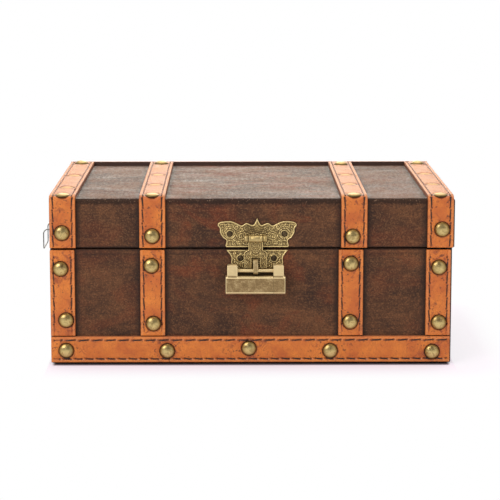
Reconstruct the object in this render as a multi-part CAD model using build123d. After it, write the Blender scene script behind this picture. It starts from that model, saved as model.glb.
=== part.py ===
from build123d import *
import os
from math import asin, cos, radians, sin, tan

# Small flat-topped trunk: boards wrapped in leatherette, stitched leather straps,
# dome nails, a hinged hasp with a sliding-bar padlock, and a wire bail on each side.
# Millimetres. +X is to the right, +Y to the rear, +Z up.
# The origin is the centre of the underside of the base.

# Case
body_width = 289.6
body_depth = 199.4
base_height = 84.4
seam_gap = 1.2
lid_height = 35.2
lid_extra_width = 1.6
lid_shift = 0.8
board_thick = 8.0
floor_thick = 5.0
lid_board_thick = 6.0
cover_thick = 0.8
lining_thick = 1.0
lining_step = 0.6
board_edge_radius = 1.2
underside_thick = 1.0
underside_inset = 5.0
turn_under = 14.0
cut_overrun = 2.0

# Straps and bands
strap_thick = 3.0
lid_strap_width = 18.8
base_strap_width = 17.8
strap_edge_radius = 0.6
strap_corner_radius = 2.0
strap_right_inset = 1.2
band_height = 19.0
band_low = 2.2
strap_joint_gap = 0.2
lid_inner_strap_shares = (-0.2466, 0.251)
base_inner_strap_shares = (-0.2455, 0.2476)

# Dome nails
nail_head_radius = 5.6
nail_rim = 0.5
nail_dome_rise = 2.0
nail_shank_radius = 0.9
nail_depth_in_board = 4.6
nail_point = 1.6
nail_hole_clearance = 0.05
nail_tip_clearance = 0.3

# Where the nails go: sideways as a share of the strap's width, then up as a share of the height
lid_front_nail_shares = ((-0.02, 0.31), (-0.01, 0.245), (-0.06, 0.233), (0.06, 0.378))
base_upper_nail_shares = ((-0.07, 0.835), (-0.045, 0.861), (0.0, 0.878), (0.02, 0.844))
base_lower_nail_shares = ((0.13, 0.39), (0.02, 0.359), (-0.02, 0.372), (0.04, 0.367))
# Along the lid's depth, front to rear, one row for each strap
lid_top_nail_shares = (
    (0.03, 0.22, 0.56, 0.94),
    (0.03, 0.29, 0.58, 0.93),
    (0.03, 0.30, 0.575, 0.90),
    (0.03, 0.295, 0.60, 0.92),
)
# Along the body's width, then up from the band's middle as a share of its height
band_nail_shares = ((-0.462, -0.06), (-0.21, -0.08), (-0.006, 0.02), (0.197, -0.08), (0.452, -0.12))

# Small screws
screw_head_radius = 1.7
screw_head_height = 1.0
screw_dome_share = 0.8
screw_shank_radius = 0.8
screw_length = 6.0
screw_slot_width = 0.5
screw_slot_depth = 0.4
screw_hole_clearance = 0.05
hasp_screw_turn = 35.0
catch_screw_turn = 20.0
hinge_screw_turn = 50.0
handle_screw_turn = 40.0

# Hinges
hinge_place_share = 0.356
hinge_width = 30.0
hinge_leaf_height = 15.0
hinge_leaf_thick = 1.2
hinge_knuckle_radius = 2.4
hinge_axis_out = 3.2
hinge_pin_radius = 1.0
hinge_pin_head = 0.8
hinge_knuckle_count = 5
hinge_gap = 0.2
hinge_leaf_seam_gap = 0.5
hinge_screw_share = 0.3
hinge_screw_drop = 5.0
lid_open_angle = 105.0
stop_width = 5.2
stop_reach = 5.4
stop_gap_angle = 0.4
stop_knuckle_clearance = 0.35
stop_foot = 3.0

# Hasp
hasp_shift = 4.2
flap_shift = -1.1
hasp_width = 56.9
hasp_height = 21.2
hasp_rise = 0.3
plate_thick = 1.2
knuckle_radius = 2.6
knuckle_length = 10.2
knuckle_rise = 6.9
knuckle_out = 3.0
ear_width = 1.8
ear_gap = 0.3
hasp_pin_radius = 0.8
running_clearance = 0.06
flap_thick = 1.5
flap_clearance = 0.8
flap_neck_width = 9.8
flap_width = 16.8
flap_shoulder_drop = 8.9
flap_shoulder_slope = 1.6
flap_drop = 21.2
flap_notch_width = 6.1
flap_notch_height = 7.3
hasp_screw_place = 19.6
hasp_screw_rise = 9.9
# Right half of the butterfly: across as a share of half the width, up as a share of the height
butterfly_outline_shares = (
    (0.0, 1.0),
    (0.056, 0.835),
    (0.116, 0.753),
    (0.271, 0.825),
    (0.392, 0.742),
    (0.532, 0.825),
    (0.668, 0.887),
    (0.914, 0.866),
    (1.0, 0.763),
    (0.944, 0.646),
    (0.937, 0.502),
    (0.868, 0.333),
    (0.777, 0.23),
    (0.8, 0.045),
    (0.777, 0.0),
)

# Catch plate and staple
catch_top_gap = 0.5
catch_half_width = 22.2
catch_height = 27.0
# Right half of the catch plate: across as a share of half the width, down as a share of the height
catch_outline_shares = (
    (1.0, 0.0),
    (0.84, 0.19),
    (0.84, 0.36),
    (0.76, 0.52),
    (0.84, 0.66),
    (0.72, 0.84),
    (0.42, 0.88),
    (0.2, 0.95),
    (0.0, 1.0),
)
catch_screw_place = 12.0
catch_screw_drop = 6.1
staple_width = 3.4
staple_wall = 1.3
staple_above_rod = 7.0
staple_tang_radius = 1.2
staple_tang_length = 5.0

# Padlock
rod_radius = 1.25
rod_drop = 14.7
rod_out = 5.4
rod_play = 0.25
padlock_shift = 2.9
padlock_width = 42.6
padlock_body_height = 12.6
padlock_thick = 8.8
padlock_edge = 0.9
padlock_gap = 2.5
padlock_split_share = 0.8
padlock_ear_width = 7.3
padlock_ear_height = 8.2
padlock_ear_behind = 2.5
padlock_ear_step = 0.4
padlock_ear_inset = 1.1
padlock_ear_corner = 0.7
padlock_joint_gap = 0.12
rod_tip_clearance = 0.3
padlock_wall = 1.6
bolt_height = 4.4
bolt_thick = 3.0
bolt_stay = 5.0
bolt_clearance = 0.3
shackle_travel = 24.0
rod_in_ear = 2.6
chamber_clearance = 0.4
keyhole_height = 6.4
keyhole_width = 2.4
leaf_spring_thick = 0.4
leaf_spring_length = 17.0
leaf_spring_width = 2.6
leaf_spring_foot = 3.0
leaf_spring_spread = 1.2

# Wire bails and their plates
bail_wire_radius = 0.6
bail_span = 36.0
bail_pivot_out = 5.4
bail_pivot_drop = 3.9
left_bail_reach = 6.8
right_bail_reach = 3.6
bail_crest_rise = 5.6
bail_shoulder_rise = 6.4
bail_drop = 9.0
bail_eye_bend = 1.2
bail_grip_bend = 2.4
# As shares of how far the bail reaches out from its pivot
bail_crest_share = 0.14
bail_crest_bend_share = 0.25
bail_shoulder_bend_share = 0.52
bail_end = 5.2
post_thick = 2.4
post_radius = 1.7
post_offset = 1.3
handle_plate_thick = 1.0
handle_plate_height = 8.0
handle_plate_drop = 0.6
handle_plate_end = 4.6
handle_screw_out = 2.4

# Worked-out places
cover_radius = board_edge_radius + cover_thick
lid_width = body_width + lid_extra_width
lid_low = base_height + seam_gap
lid_top = lid_low + lid_height
front = -body_depth / 2
rear = body_depth / 2
board_low = underside_thick + cover_thick
cavity_half_depth = body_depth / 2 - cover_thick - board_thick
base_cavity_half_width = body_width / 2 - cover_thick - board_thick
lid_cavity_half_width = lid_width / 2 - cover_thick - board_thick
nail_shank_length = strap_thick + cover_thick + nail_depth_in_board
hinge_axis_y = rear + hinge_axis_out
hinge_axis_z = base_height + seam_gap / 2
plate_front = front - plate_thick
flap_middle = hasp_shift + flap_shift
knuckle_y = plate_front - knuckle_out
knuckle_z = lid_low + knuckle_rise
rod_y = plate_front - rod_out
rod_z = base_height - rod_drop
padlock_left = padlock_shift - padlock_width / 2
padlock_right = padlock_shift + padlock_width / 2
padlock_split = padlock_left + padlock_width * padlock_split_share
padlock_top = rod_z - rod_radius - padlock_gap
padlock_low = padlock_top - padlock_body_height
padlock_mid = (padlock_top + padlock_low) / 2
bolt_length = shackle_travel + bolt_stay
bail_pivot_z = base_height - bail_pivot_drop
handle_screw_reach = bail_span / 2 + handle_screw_out
handle_plate_width = 2 * (handle_screw_reach + handle_plate_end)


def block(x0, x1, y0, y1, z0, z1):
    """A box between two opposite corners."""
    middle = Pos((x0 + x1) / 2, (y0 + y1) / 2, (z0 + z1) / 2)
    return middle * Box(x1 - x0, y1 - y0, z1 - z0)


def rounded_case(half_width, half_depth, low, high, radius, shift=0, round_top=False):
    """A box on the case's middle line with rounded upright corners, and a rounded top if asked."""
    solid = block(shift - half_width, shift + half_width, -half_depth, half_depth, low, high)
    edges = solid.edges().filter_by(Axis.Z)
    if round_top:
        edges += solid.faces().sort_by(Axis.Z)[-1].edges()
    return fillet(edges, radius)


def dome_nail():
    """One nail, head up, with the underside of its head on the XY plane."""
    outline = Polyline(
        (0, -nail_shank_length),
        (nail_shank_radius, nail_point - nail_shank_length),
        (nail_shank_radius, 0),
        (nail_head_radius, 0),
        (nail_head_radius, nail_rim),
    )
    crown = nail_rim + nail_dome_rise
    sphere = (nail_head_radius**2 + nail_dome_rise**2) / (2 * nail_dome_rise)
    half_angle = asin(nail_head_radius / sphere) / 2
    way = (sphere * sin(half_angle), crown - sphere * (1 - cos(half_angle)))
    dome = ThreePointArc((nail_head_radius, nail_rim), way, (0, crown))
    axis_line = Line((0, crown), (0, -nail_shank_length))
    face = make_face(outline + dome + axis_line)
    return revolve(Plane.XZ * face, Axis.Z)


def nail_hole():
    """The hole that one nail's shank sits in."""
    length = nail_shank_length + nail_tip_clearance
    return Pos(0, 0, -length / 2) * Cylinder(nail_shank_radius + nail_hole_clearance, length)


def round_screw():
    """One round-headed slotted screw, head up, with the underside of its head on the XY plane."""
    head = Pos(0, 0, screw_head_height / 2) * Cylinder(screw_head_radius, screw_head_height)
    head = fillet(head.edges().sort_by(Axis.Z)[-1], screw_head_height * screw_dome_share)
    slot_z = screw_head_height - screw_slot_depth / 2
    head -= Pos(0, 0, slot_z) * Box(3 * screw_head_radius, screw_slot_width, screw_slot_depth)
    return head + Pos(0, 0, -screw_length / 2) * Cylinder(screw_shank_radius, screw_length)


def screw_hole():
    """The hole that one screw's shank sits in."""
    length = screw_length + nail_tip_clearance
    radius = screw_shank_radius + screw_hole_clearance
    return Pos(0, 0, -length / 2) * Cylinder(radius, length)


def on_front(x, y, z, turn=0):
    """A place on a face that looks to the front, for a nail or screw made head up."""
    return Pos(x, y, z) * Rot(90, 0, 0) * Rot(0, 0, turn)


def on_rear(x, y, z, turn=0):
    """A place on a face that looks to the rear."""
    return Pos(x, y, z) * Rot(-90, 0, 0) * Rot(0, 0, turn)


def on_side(x, y, z, side, turn=0):
    """A place on the left face (side -1) or the right face (side 1)."""
    return Pos(x, y, z) * Rot(0, 90 * side, 0) * Rot(0, 0, turn)


def lid_strap_centres():
    """Middles of the lid's four straps, left to right."""
    left = lid_shift - lid_width / 2 + lid_strap_width / 2
    right = lid_shift + lid_width / 2 - strap_right_inset - lid_strap_width / 2
    inner = [lid_shift + share * lid_width for share in lid_inner_strap_shares]
    return [left, inner[0], inner[1], right]


def base_strap_centres():
    """Middles of the base's four straps, left to right."""
    left = -body_width / 2 + base_strap_width / 2
    right = body_width / 2 - strap_right_inset - base_strap_width / 2
    inner = [share * body_width for share in base_inner_strap_shares]
    return [left, inner[0], inner[1], right]


def lid_nail_places():
    """Places of the lid's nails, grouped as front, top and rear."""
    strap_front = front - strap_thick
    strap_top = lid_top + strap_thick
    front_places, top_places, rear_places = [], [], []
    for centre, share, row in zip(lid_strap_centres(), lid_front_nail_shares, lid_top_nail_shares):
        x = centre + share[0] * lid_strap_width
        front_places.append(on_front(x, strap_front, lid_low + share[1] * lid_height))
        for along in row:
            y = strap_front + along * (rear - strap_front)
            top_places.append(Pos(centre, y, strap_top))
        rear_places.append(on_rear(centre, rear + strap_thick, strap_top - band_height / 2))
    return front_places, top_places, rear_places


def base_nail_places():
    """Places of the nails on the base's front."""
    strap_front = front - strap_thick
    places = []
    for table in (base_upper_nail_shares, base_lower_nail_shares):
        for centre, share in zip(base_strap_centres(), table):
            x = centre + share[0] * base_strap_width
            places.append(on_front(x, strap_front, share[1] * base_height))
    band_middle = band_low + band_height / 2
    for across, up in band_nail_shares:
        places.append(on_front(across * body_width, strap_front, band_middle + up * band_height))
    return places


def hasp_screw_places():
    """Places of the two screws on the butterfly plate."""
    z = lid_low + hasp_screw_rise
    return [
        on_front(hasp_shift + side * hasp_screw_place, plate_front, z, hasp_screw_turn * side)
        for side in (-1, 1)
    ]


def catch_screw_places():
    """Places of the two screws on the catch plate."""
    z = base_height - catch_top_gap - catch_screw_drop
    return [
        on_front(hasp_shift + side * catch_screw_place, plate_front, z, catch_screw_turn * side)
        for side in (-1, 1)
    ]


def hinge_centres():
    """Middles of the two hinges along the body's width."""
    return [side * hinge_place_share * body_width for side in (-1, 1)]


def hinge_screw_places(up):
    """Places of the hinge screws on the lid (up 1) or on the base (up -1)."""
    y = rear + hinge_leaf_thick
    z = hinge_axis_z + up * (hinge_leaf_height - hinge_screw_drop)
    return [
        on_rear(centre + side * hinge_screw_share * hinge_width, y, z, hinge_screw_turn * side)
        for centre in hinge_centres()
        for side in (-1, 1)
    ]


def handle_screw_places(side):
    """Places of the two screws on one handle plate."""
    x = side * (body_width / 2 + handle_plate_thick)
    z = bail_pivot_z - handle_plate_drop
    return [
        on_side(x, way * handle_screw_reach, z, side, handle_screw_turn * way)
        for way in (-1, 1)
    ]


def staple_tang_hole():
    """The hole through the catch plate and into the front board for the staple's tang."""
    radius = staple_tang_radius + nail_hole_clearance
    length = plate_thick + cover_thick + staple_tang_length + nail_tip_clearance
    z = (staple_top() + staple_low()) / 2
    return on_front(flap_middle, plate_front, z) * Pos(0, 0, -length / 2) * Cylinder(radius, length)


def staple_top():
    """Height of the staple's upper edge."""
    return rod_z + staple_above_rod + staple_wall


def staple_low():
    """Height of the staple's lower edge."""
    return rod_z - rod_radius - rod_play - staple_wall


def front_base_holes():
    """Every fastener hole that enters the base from the front."""
    holes = [place * nail_hole() for place in base_nail_places()]
    holes += [place * screw_hole() for place in catch_screw_places()]
    return holes + [staple_tang_hole()]


def rear_base_holes():
    """Every fastener hole that enters the base from the rear."""
    return [place * screw_hole() for place in hinge_screw_places(-1)]


def side_base_holes(side):
    """Every fastener hole that enters the base from one side."""
    return [place * screw_hole() for place in handle_screw_places(side)]


def front_lid_holes():
    """Every fastener hole that enters the lid from the front."""
    holes = [place * nail_hole() for place in lid_nail_places()[0]]
    return holes + [place * screw_hole() for place in hasp_screw_places()]


def top_lid_holes():
    """Every nail hole that enters the lid from above."""
    return [place * nail_hole() for place in lid_nail_places()[1]]


def rear_lid_holes():
    """Every fastener hole that enters the lid from the rear."""
    holes = [place * nail_hole() for place in lid_nail_places()[2]]
    return holes + [place * screw_hole() for place in hinge_screw_places(1)]


def base_board_block():
    """The outer shape of the base's boards, inside the cover."""
    half_width = body_width / 2 - cover_thick
    half_depth = body_depth / 2 - cover_thick
    high = base_height - cover_thick
    return rounded_case(half_width, half_depth, board_low, high, board_edge_radius)


def lid_board_block():
    """The outer shape of the lid's boards, inside the cover."""
    half_width = lid_width / 2 - cover_thick
    half_depth = body_depth / 2 - cover_thick
    low, high = lid_low + cover_thick, lid_top - cover_thick
    return rounded_case(half_width, half_depth, low, high, board_edge_radius, lid_shift, True)


def base_boards():
    """Front, rear, left and right walls and the floor of the base."""
    whole = base_board_block()
    low, high = 0, base_height
    far = body_width
    inner_x, inner_y = base_cavity_half_width, cavity_half_depth
    boards = {
        "base_front_board": whole & block(-far, far, -far, -inner_y, low, high),
        "base_rear_board": whole & block(-far, far, inner_y, far, low, high),
        "base_left_board": whole & block(-far, -inner_x, -inner_y, inner_y, low, high),
        "base_right_board": whole & block(inner_x, far, -inner_y, inner_y, low, high),
    }
    boards["base_front_board"] -= front_base_holes()
    boards["base_rear_board"] -= rear_base_holes()
    boards["base_left_board"] -= side_base_holes(-1)
    boards["base_right_board"] -= side_base_holes(1)
    floor_top = board_low + floor_thick
    boards["base_floor_board"] = block(-inner_x, inner_x, -inner_y, inner_y, board_low, floor_top)
    return boards


def lid_boards():
    """Front, rear, left and right walls and the top panel of the lid."""
    whole = lid_board_block()
    low = lid_low
    high = lid_top - cover_thick - lid_board_thick
    far = lid_width
    left, right = lid_shift - lid_cavity_half_width, lid_shift + lid_cavity_half_width
    inner_y = cavity_half_depth
    boards = {
        "lid_front_board": whole & block(-far, far, -far, -inner_y, low, high),
        "lid_rear_board": whole & block(-far, far, inner_y, far, low, high),
        "lid_left_board": whole & block(-far, left, -inner_y, inner_y, low, high),
        "lid_right_board": whole & block(right, far, -inner_y, inner_y, low, high),
        "lid_top_board": whole & block(-far, far, -far, far, high, lid_top),
    }
    holes = front_lid_holes() + top_lid_holes() + rear_lid_holes()
    for name in ("lid_front_board", "lid_rear_board", "lid_top_board"):
        boards[name] -= holes
    return boards


def base_cover():
    """Leatherette round the base's walls, over the rim and turned under the bottom."""
    outer = rounded_case(
        body_width / 2, body_depth / 2, underside_thick, base_height, cover_radius
    )
    inner_x, inner_y = base_cavity_half_width, cavity_half_depth
    skin = outer - base_board_block()
    skin -= block(-inner_x, inner_x, -inner_y, inner_y, board_low, base_height + cut_overrun)
    hem_x = body_width / 2 - turn_under
    hem_y = body_depth / 2 - turn_under
    skin -= block(-hem_x, hem_x, -hem_y, hem_y, 0, board_low + cut_overrun)
    holes = front_base_holes() + rear_base_holes() + side_base_holes(-1) + side_base_holes(1)
    return skin - holes


def lid_cover():
    """Leatherette over the lid's top and walls and over its rim."""
    outer = rounded_case(
        lid_width / 2, body_depth / 2, lid_low, lid_top, cover_radius, lid_shift, True
    )
    left, right = lid_shift - lid_cavity_half_width, lid_shift + lid_cavity_half_width
    inner_y = cavity_half_depth
    skin = outer - lid_board_block()
    rim_top = lid_low + cover_thick + cut_overrun
    skin -= block(left, right, -inner_y, inner_y, lid_low - cut_overrun, rim_top)
    return skin - front_lid_holes() - top_lid_holes() - rear_lid_holes()


def base_lining():
    """A thin tray that lines the base's walls and floor."""
    floor = board_low + floor_thick
    rim = base_height - lining_step
    x, y = base_cavity_half_width, cavity_half_depth
    tray = block(-x, x, -y, y, floor, rim)
    x, y = x - lining_thick, y - lining_thick
    return tray - block(-x, x, -y, y, floor + lining_thick, rim + cut_overrun)


def lid_lining():
    """A thin tray that lines the lid's walls and the underside of its top."""
    ceiling = lid_top - cover_thick - lid_board_thick
    rim = lid_low + lining_step
    x, y = lid_cavity_half_width, cavity_half_depth
    tray = block(lid_shift - x, lid_shift + x, -y, y, rim, ceiling)
    x, y = x - lining_thick, y - lining_thick
    hollow = block(lid_shift - x, lid_shift + x, -y, y, rim - cut_overrun, ceiling - lining_thick)
    return tray - hollow


def underside_sheet():
    """The felt sheet that the trunk stands on."""
    x = body_width / 2 - underside_inset
    y = body_depth / 2 - underside_inset
    return rounded_case(x, y, 0, underside_thick, strap_corner_radius)


def lid_strap(centre):
    """One strap from the lid's rim up the front, over the bend and back to the rear band."""
    x0, x1 = centre - lid_strap_width / 2, centre + lid_strap_width / 2
    y0, z1 = front - strap_thick, lid_top + strap_thick
    strap = block(x0, x1, y0, rear, lid_low, z1)
    bend = strap.edges().filter_by(Axis.X).group_by(Axis.Y)[0].sort_by(Axis.Z)[-1]
    strap = fillet(bend, cover_radius + strap_thick)
    rims = [
        edge
        for edge in strap.edges()
        if edge.center().Z > lid_low + strap_thick / 2
        and edge.center().Y < rear - strap_thick / 2
        and abs(abs(edge.center().X - centre) - lid_strap_width / 2) < strap_edge_radius
    ]
    strap = fillet(rims, strap_edge_radius)
    core = block(x0 - cut_overrun, x1 + cut_overrun, front, rear + cut_overrun, 0, lid_top)
    bend = core.edges().filter_by(Axis.X).group_by(Axis.Y)[0].sort_by(Axis.Z)[-1]
    strap -= fillet(bend, cover_radius)
    return strap - front_lid_holes() - top_lid_holes()


def flat_strap(x0, x1, y0, y1, z0, z1, upper_radius=0):
    """A straight strap with eased long edges, and rounded upper corners if asked."""
    strap = block(x0, x1, y0, y1, z0, z1)
    if upper_radius:
        corners = strap.edges().filter_by(Axis.Y).group_by(Axis.Z)[-1]
        strap = fillet(corners, upper_radius)
    outer_face = strap.faces().sort_by(Axis.Y)[0 if y0 < 0 else -1]
    return fillet(outer_face.edges(), strap_edge_radius)


def base_strap(centre):
    """One upright strap on the base's front, from the rim to the bottom band."""
    x0, x1 = centre - base_strap_width / 2, centre + base_strap_width / 2
    low = band_low + band_height + strap_joint_gap
    high = base_height - strap_joint_gap
    strap = flat_strap(x0, x1, front - strap_thick, front, low, high, strap_corner_radius)
    return strap - front_base_holes()


def bottom_band():
    """The level strap along the foot of the base's front."""
    x1 = body_width / 2 - strap_right_inset
    high = band_low + band_height
    band = flat_strap(-body_width / 2, x1, front - strap_thick, front, band_low, high)
    return band - front_base_holes()


def lid_rear_band():
    """The level strap along the lid's rear, standing up level with the top straps."""
    x0 = lid_shift - lid_width / 2
    x1 = lid_shift + lid_width / 2 - strap_right_inset
    high = lid_top + strap_thick
    band = flat_strap(x0, x1, rear, rear + strap_thick, high - band_height, high)
    return band - rear_lid_holes()


def hinge_leaf(centre, up):
    """One hinge leaf with its knuckles and stop: up 1 is the lid's, up -1 the base's."""
    half = hinge_width / 2
    near, far = sorted((up * hinge_leaf_seam_gap, up * hinge_leaf_height))
    z0, z1 = hinge_axis_z + near, hinge_axis_z + far
    leaf = block(centre - half, centre + half, rear, rear + hinge_leaf_thick, z0, z1)
    corners = leaf.edges().filter_by(Axis.Y).group_by(Axis.Z)[-1 if up > 0 else 0]
    leaf = fillet(corners, strap_corner_radius)
    pitch = hinge_width / hinge_knuckle_count
    reach = hinge_knuckle_radius + stop_knuckle_clearance
    axis = Pos(centre, hinge_axis_y, hinge_axis_z)
    for index in range(hinge_knuckle_count):
        x = centre - half + pitch / 2 + index * pitch
        mine = index % 2 == (1 if up > 0 else 0)
        length = pitch - hinge_gap
        if mine:
            barrel = Rot(0, 90, 0) * Cylinder(hinge_knuckle_radius, length)
            leaf += Pos(x, hinge_axis_y, hinge_axis_z) * barrel
            low, high = sorted((0, up * hinge_knuckle_radius))
            root = block(-length / 2, length / 2, rear - hinge_axis_y, 0, low, high)
            leaf += Pos(x, hinge_axis_y, hinge_axis_z) * root
        else:
            low, high = sorted((up * reach, -up * hinge_leaf_seam_gap))
            slot = block(-pitch / 2, pitch / 2, rear - hinge_axis_y - cut_overrun, reach, low, high)
            leaf -= Pos(x, hinge_axis_y, hinge_axis_z) * slot
    leaf += axis * hinge_stop(up)
    bore = Rot(0, 90, 0) * Cylinder(hinge_pin_radius + running_clearance, hinge_width + pitch)
    leaf -= axis * bore
    return leaf - [place * screw_hole() for place in hinge_screw_places(up)]


def hinge_stop(up):
    """The wedge on a leaf that meets the other leaf's wedge when the lid is fully open."""
    face_angle = radians(lid_open_angle / 2 + stop_gap_angle)
    foot = hinge_knuckle_radius + stop_knuckle_clearance
    root_y = rear + hinge_leaf_thick - hinge_axis_y
    tip = (stop_reach * cos(face_angle), stop_reach * sin(face_angle))
    points = [
        (root_y, foot),
        (foot / tan(face_angle), foot),
        tip,
        (root_y, tip[1] + stop_foot),
    ]
    outline = make_face(Polyline([(y, up * z) for y, z in points], close=True))
    return extrude(Plane.YZ * outline, stop_width / 2, both=True)


def hinge_pin(centre):
    """One headed hinge pin."""
    length = hinge_width + 2 * hinge_pin_head
    pin = Rot(0, 90, 0) * Cylinder(hinge_pin_radius, length)
    for side in (-1, 1):
        x = side * (hinge_width + hinge_pin_head) / 2
        head = Rot(0, 90, 0) * Cylinder(hinge_pin_radius + hinge_pin_head, hinge_pin_head)
        pin += Pos(x, 0, 0) * head
    return Pos(centre, hinge_axis_y, hinge_axis_z) * pin


def mirrored_outline(half, across, up):
    """A closed face on the front plane from the right half of its outline."""
    right = [(x * across, z * up) for x, z in half]
    left = [(-x, z) for x, z in reversed(right) if x > 0]
    return Plane.XZ * make_face(Polyline(right + left, close=True))


def hasp_plate():
    """The butterfly plate on the lid's front, with the two ears that hold the flap's pin."""
    outline = mirrored_outline(butterfly_outline_shares, hasp_width / 2, hasp_height)
    plate = Pos(hasp_shift, front, lid_low + hasp_rise) * extrude(outline, plate_thick)
    inner = knuckle_length / 2 + ear_gap
    for side in (-1, 1):
        x0, x1 = sorted((side * inner, side * (inner + ear_width)))
        ear = Pos((x0 + x1) / 2, 0, 0) * Rot(0, 90, 0) * Cylinder(knuckle_radius, ear_width)
        ear += block(x0, x1, 0, front - knuckle_y, -knuckle_radius, knuckle_radius)
        plate += Pos(flap_middle, knuckle_y, knuckle_z) * ear
    bore_length = hasp_width
    bore = Rot(0, 90, 0) * Cylinder(hasp_pin_radius + running_clearance, bore_length)
    plate -= Pos(flap_middle, knuckle_y, knuckle_z) * bore
    return plate - [place * screw_hole() for place in hasp_screw_places()]


def hasp_flap():
    """The hinged flap: a knuckle, a neck, and two legs that straddle the staple."""
    neck, wide, notch = flap_neck_width / 2, flap_width / 2, flap_notch_width / 2
    shoulder = -flap_shoulder_drop
    notch_top = flap_notch_height - flap_drop
    half = [
        (neck, 0),
        (neck, shoulder),
        (wide, shoulder - flap_shoulder_slope),
        (wide, -flap_drop),
        (notch, -flap_drop),
        (notch, notch_top),
        (0, notch_top),
    ]
    left = [(-x, z) for x, z in reversed(half[:-1])]
    outline = Plane.XZ * make_face(Polyline(half + left, close=True))
    back = plate_front - flap_clearance - knuckle_y
    flap = Pos(0, back, 0) * extrude(outline, flap_thick)
    flap += Rot(0, 90, 0) * Cylinder(knuckle_radius, knuckle_length)
    flap -= Rot(0, 90, 0) * Cylinder(hasp_pin_radius + running_clearance, hasp_width)
    return Pos(flap_middle, knuckle_y, knuckle_z) * flap


def hasp_pin():
    """The pin through the ears and the flap's knuckle."""
    length = knuckle_length + 2 * (ear_gap + ear_width)
    return Pos(flap_middle, knuckle_y, knuckle_z) * Rot(0, 90, 0) * Cylinder(hasp_pin_radius, length)


def catch_plate():
    """The plate on the base's front that holds the staple."""
    outline = mirrored_outline(catch_outline_shares, catch_half_width, -catch_height)
    plate = Pos(hasp_shift, front, base_height - catch_top_gap) * extrude(outline, plate_thick)
    plate -= [place * screw_hole() for place in catch_screw_places()]
    return plate - staple_tang_hole()


def staple():
    """The upright loop that stands out of the catch plate, with its tang into the board."""
    low, high = staple_low(), staple_top()
    tip = rod_y - rod_radius - rod_play - staple_wall
    half = staple_width / 2
    loop = block(-half, half, tip, plate_front, low, high)
    outer = loop.edges().filter_by(Axis.X).group_by(Axis.Y)[0]
    loop = fillet(outer, rod_radius + rod_play + staple_wall)
    z0 = rod_z - rod_radius - rod_play
    y0, y1 = tip + staple_wall, plate_front - staple_wall
    slot = block(-staple_width, staple_width, y0, y1, z0, high - staple_wall)
    loop -= fillet(slot.edges().filter_by(Axis.X).group_by(Axis.Y)[0], rod_radius + rod_play)
    tang_length = plate_thick + cover_thick + staple_tang_length
    middle = (low + high) / 2
    tang = Rot(90, 0, 0) * Cylinder(staple_tang_radius, tang_length)
    loop += Pos(0, plate_front + tang_length / 2, middle) * tang
    return Pos(flap_middle, 0, 0) * loop


def padlock_ear(x0, x1):
    """One upright ear of the padlock with eased upper corners, between two sideways places."""
    y0 = rod_y - padlock_thick / 2 + padlock_ear_step
    y1 = rod_y + padlock_ear_behind
    high = padlock_top + padlock_ear_height
    ear = block(x0, x1, y0, y1, padlock_top - padlock_edge, high)
    corners = ear.edges().filter_by(Axis.Y).group_by(Axis.Z)[-1]
    return fillet(corners, padlock_ear_corner)


def padlock_shell(x0, x1):
    """A length of the padlock's bar-shaped body with eased long edges."""
    half = padlock_thick / 2
    bar = block(x0, x1, rod_y - half, rod_y + half, padlock_low, padlock_top)
    return chamfer(bar.edges().filter_by(Axis.X), padlock_edge)


def padlock_body():
    """The fixed part of the padlock: left ear, keyhole, spring chamber and narrower throat."""
    body = padlock_shell(padlock_left, padlock_split - padlock_joint_gap)
    ear_left = padlock_left + padlock_ear_inset
    body += padlock_ear(ear_left, ear_left + padlock_ear_width)
    half_throat = bolt_thick / 2 + bolt_clearance
    half_chamber = half_throat + leaf_spring_thick + leaf_spring_spread
    half_high = bolt_height / 2 + bolt_clearance
    x0 = padlock_left + padlock_wall
    x1 = padlock_split - bolt_length + leaf_spring_length + chamber_clearance
    z0, z1 = padlock_mid - half_high, padlock_mid + half_high
    body -= block(x0, x1, rod_y - half_chamber, rod_y + half_chamber, z0, z1)
    x2 = padlock_split + cut_overrun
    body -= block(x0, x2, rod_y - half_throat, rod_y + half_throat, z0, z1)
    rod_length = rod_in_ear + cut_overrun
    bore = Rot(0, 90, 0) * Cylinder(rod_radius + rod_play, rod_length)
    inner = ear_left + padlock_ear_width
    body -= Pos(inner - rod_in_ear + rod_length / 2 - rod_tip_clearance, rod_y, rod_z) * bore
    key = Box(2 * padlock_wall + cut_overrun, keyhole_width, keyhole_height - keyhole_width)
    return body - Pos(padlock_left, rod_y, padlock_mid) * key


def padlock_shackle():
    """The sliding part: end block, right ear, the rod through the staple, and the bolt bar."""
    end = padlock_shell(padlock_split, padlock_right)
    ear_right = padlock_right - padlock_ear_inset
    ear_left = max(ear_right - padlock_ear_width, padlock_split)
    end += padlock_ear(ear_left, ear_right)
    rod_end = padlock_left + padlock_ear_inset + padlock_ear_width - rod_in_ear
    length = ear_left - rod_end + padlock_edge
    rod = Rot(0, 90, 0) * Cylinder(rod_radius, length)
    end += Pos(rod_end + length / 2, rod_y, rod_z) * rod
    half_thick, half_high = bolt_thick / 2, bolt_height / 2
    x0 = padlock_split - bolt_length
    z0, z1 = padlock_mid - half_high, padlock_mid + half_high
    end += block(x0, padlock_split, rod_y - half_thick, rod_y + half_thick, z0, z1)
    return end


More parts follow.
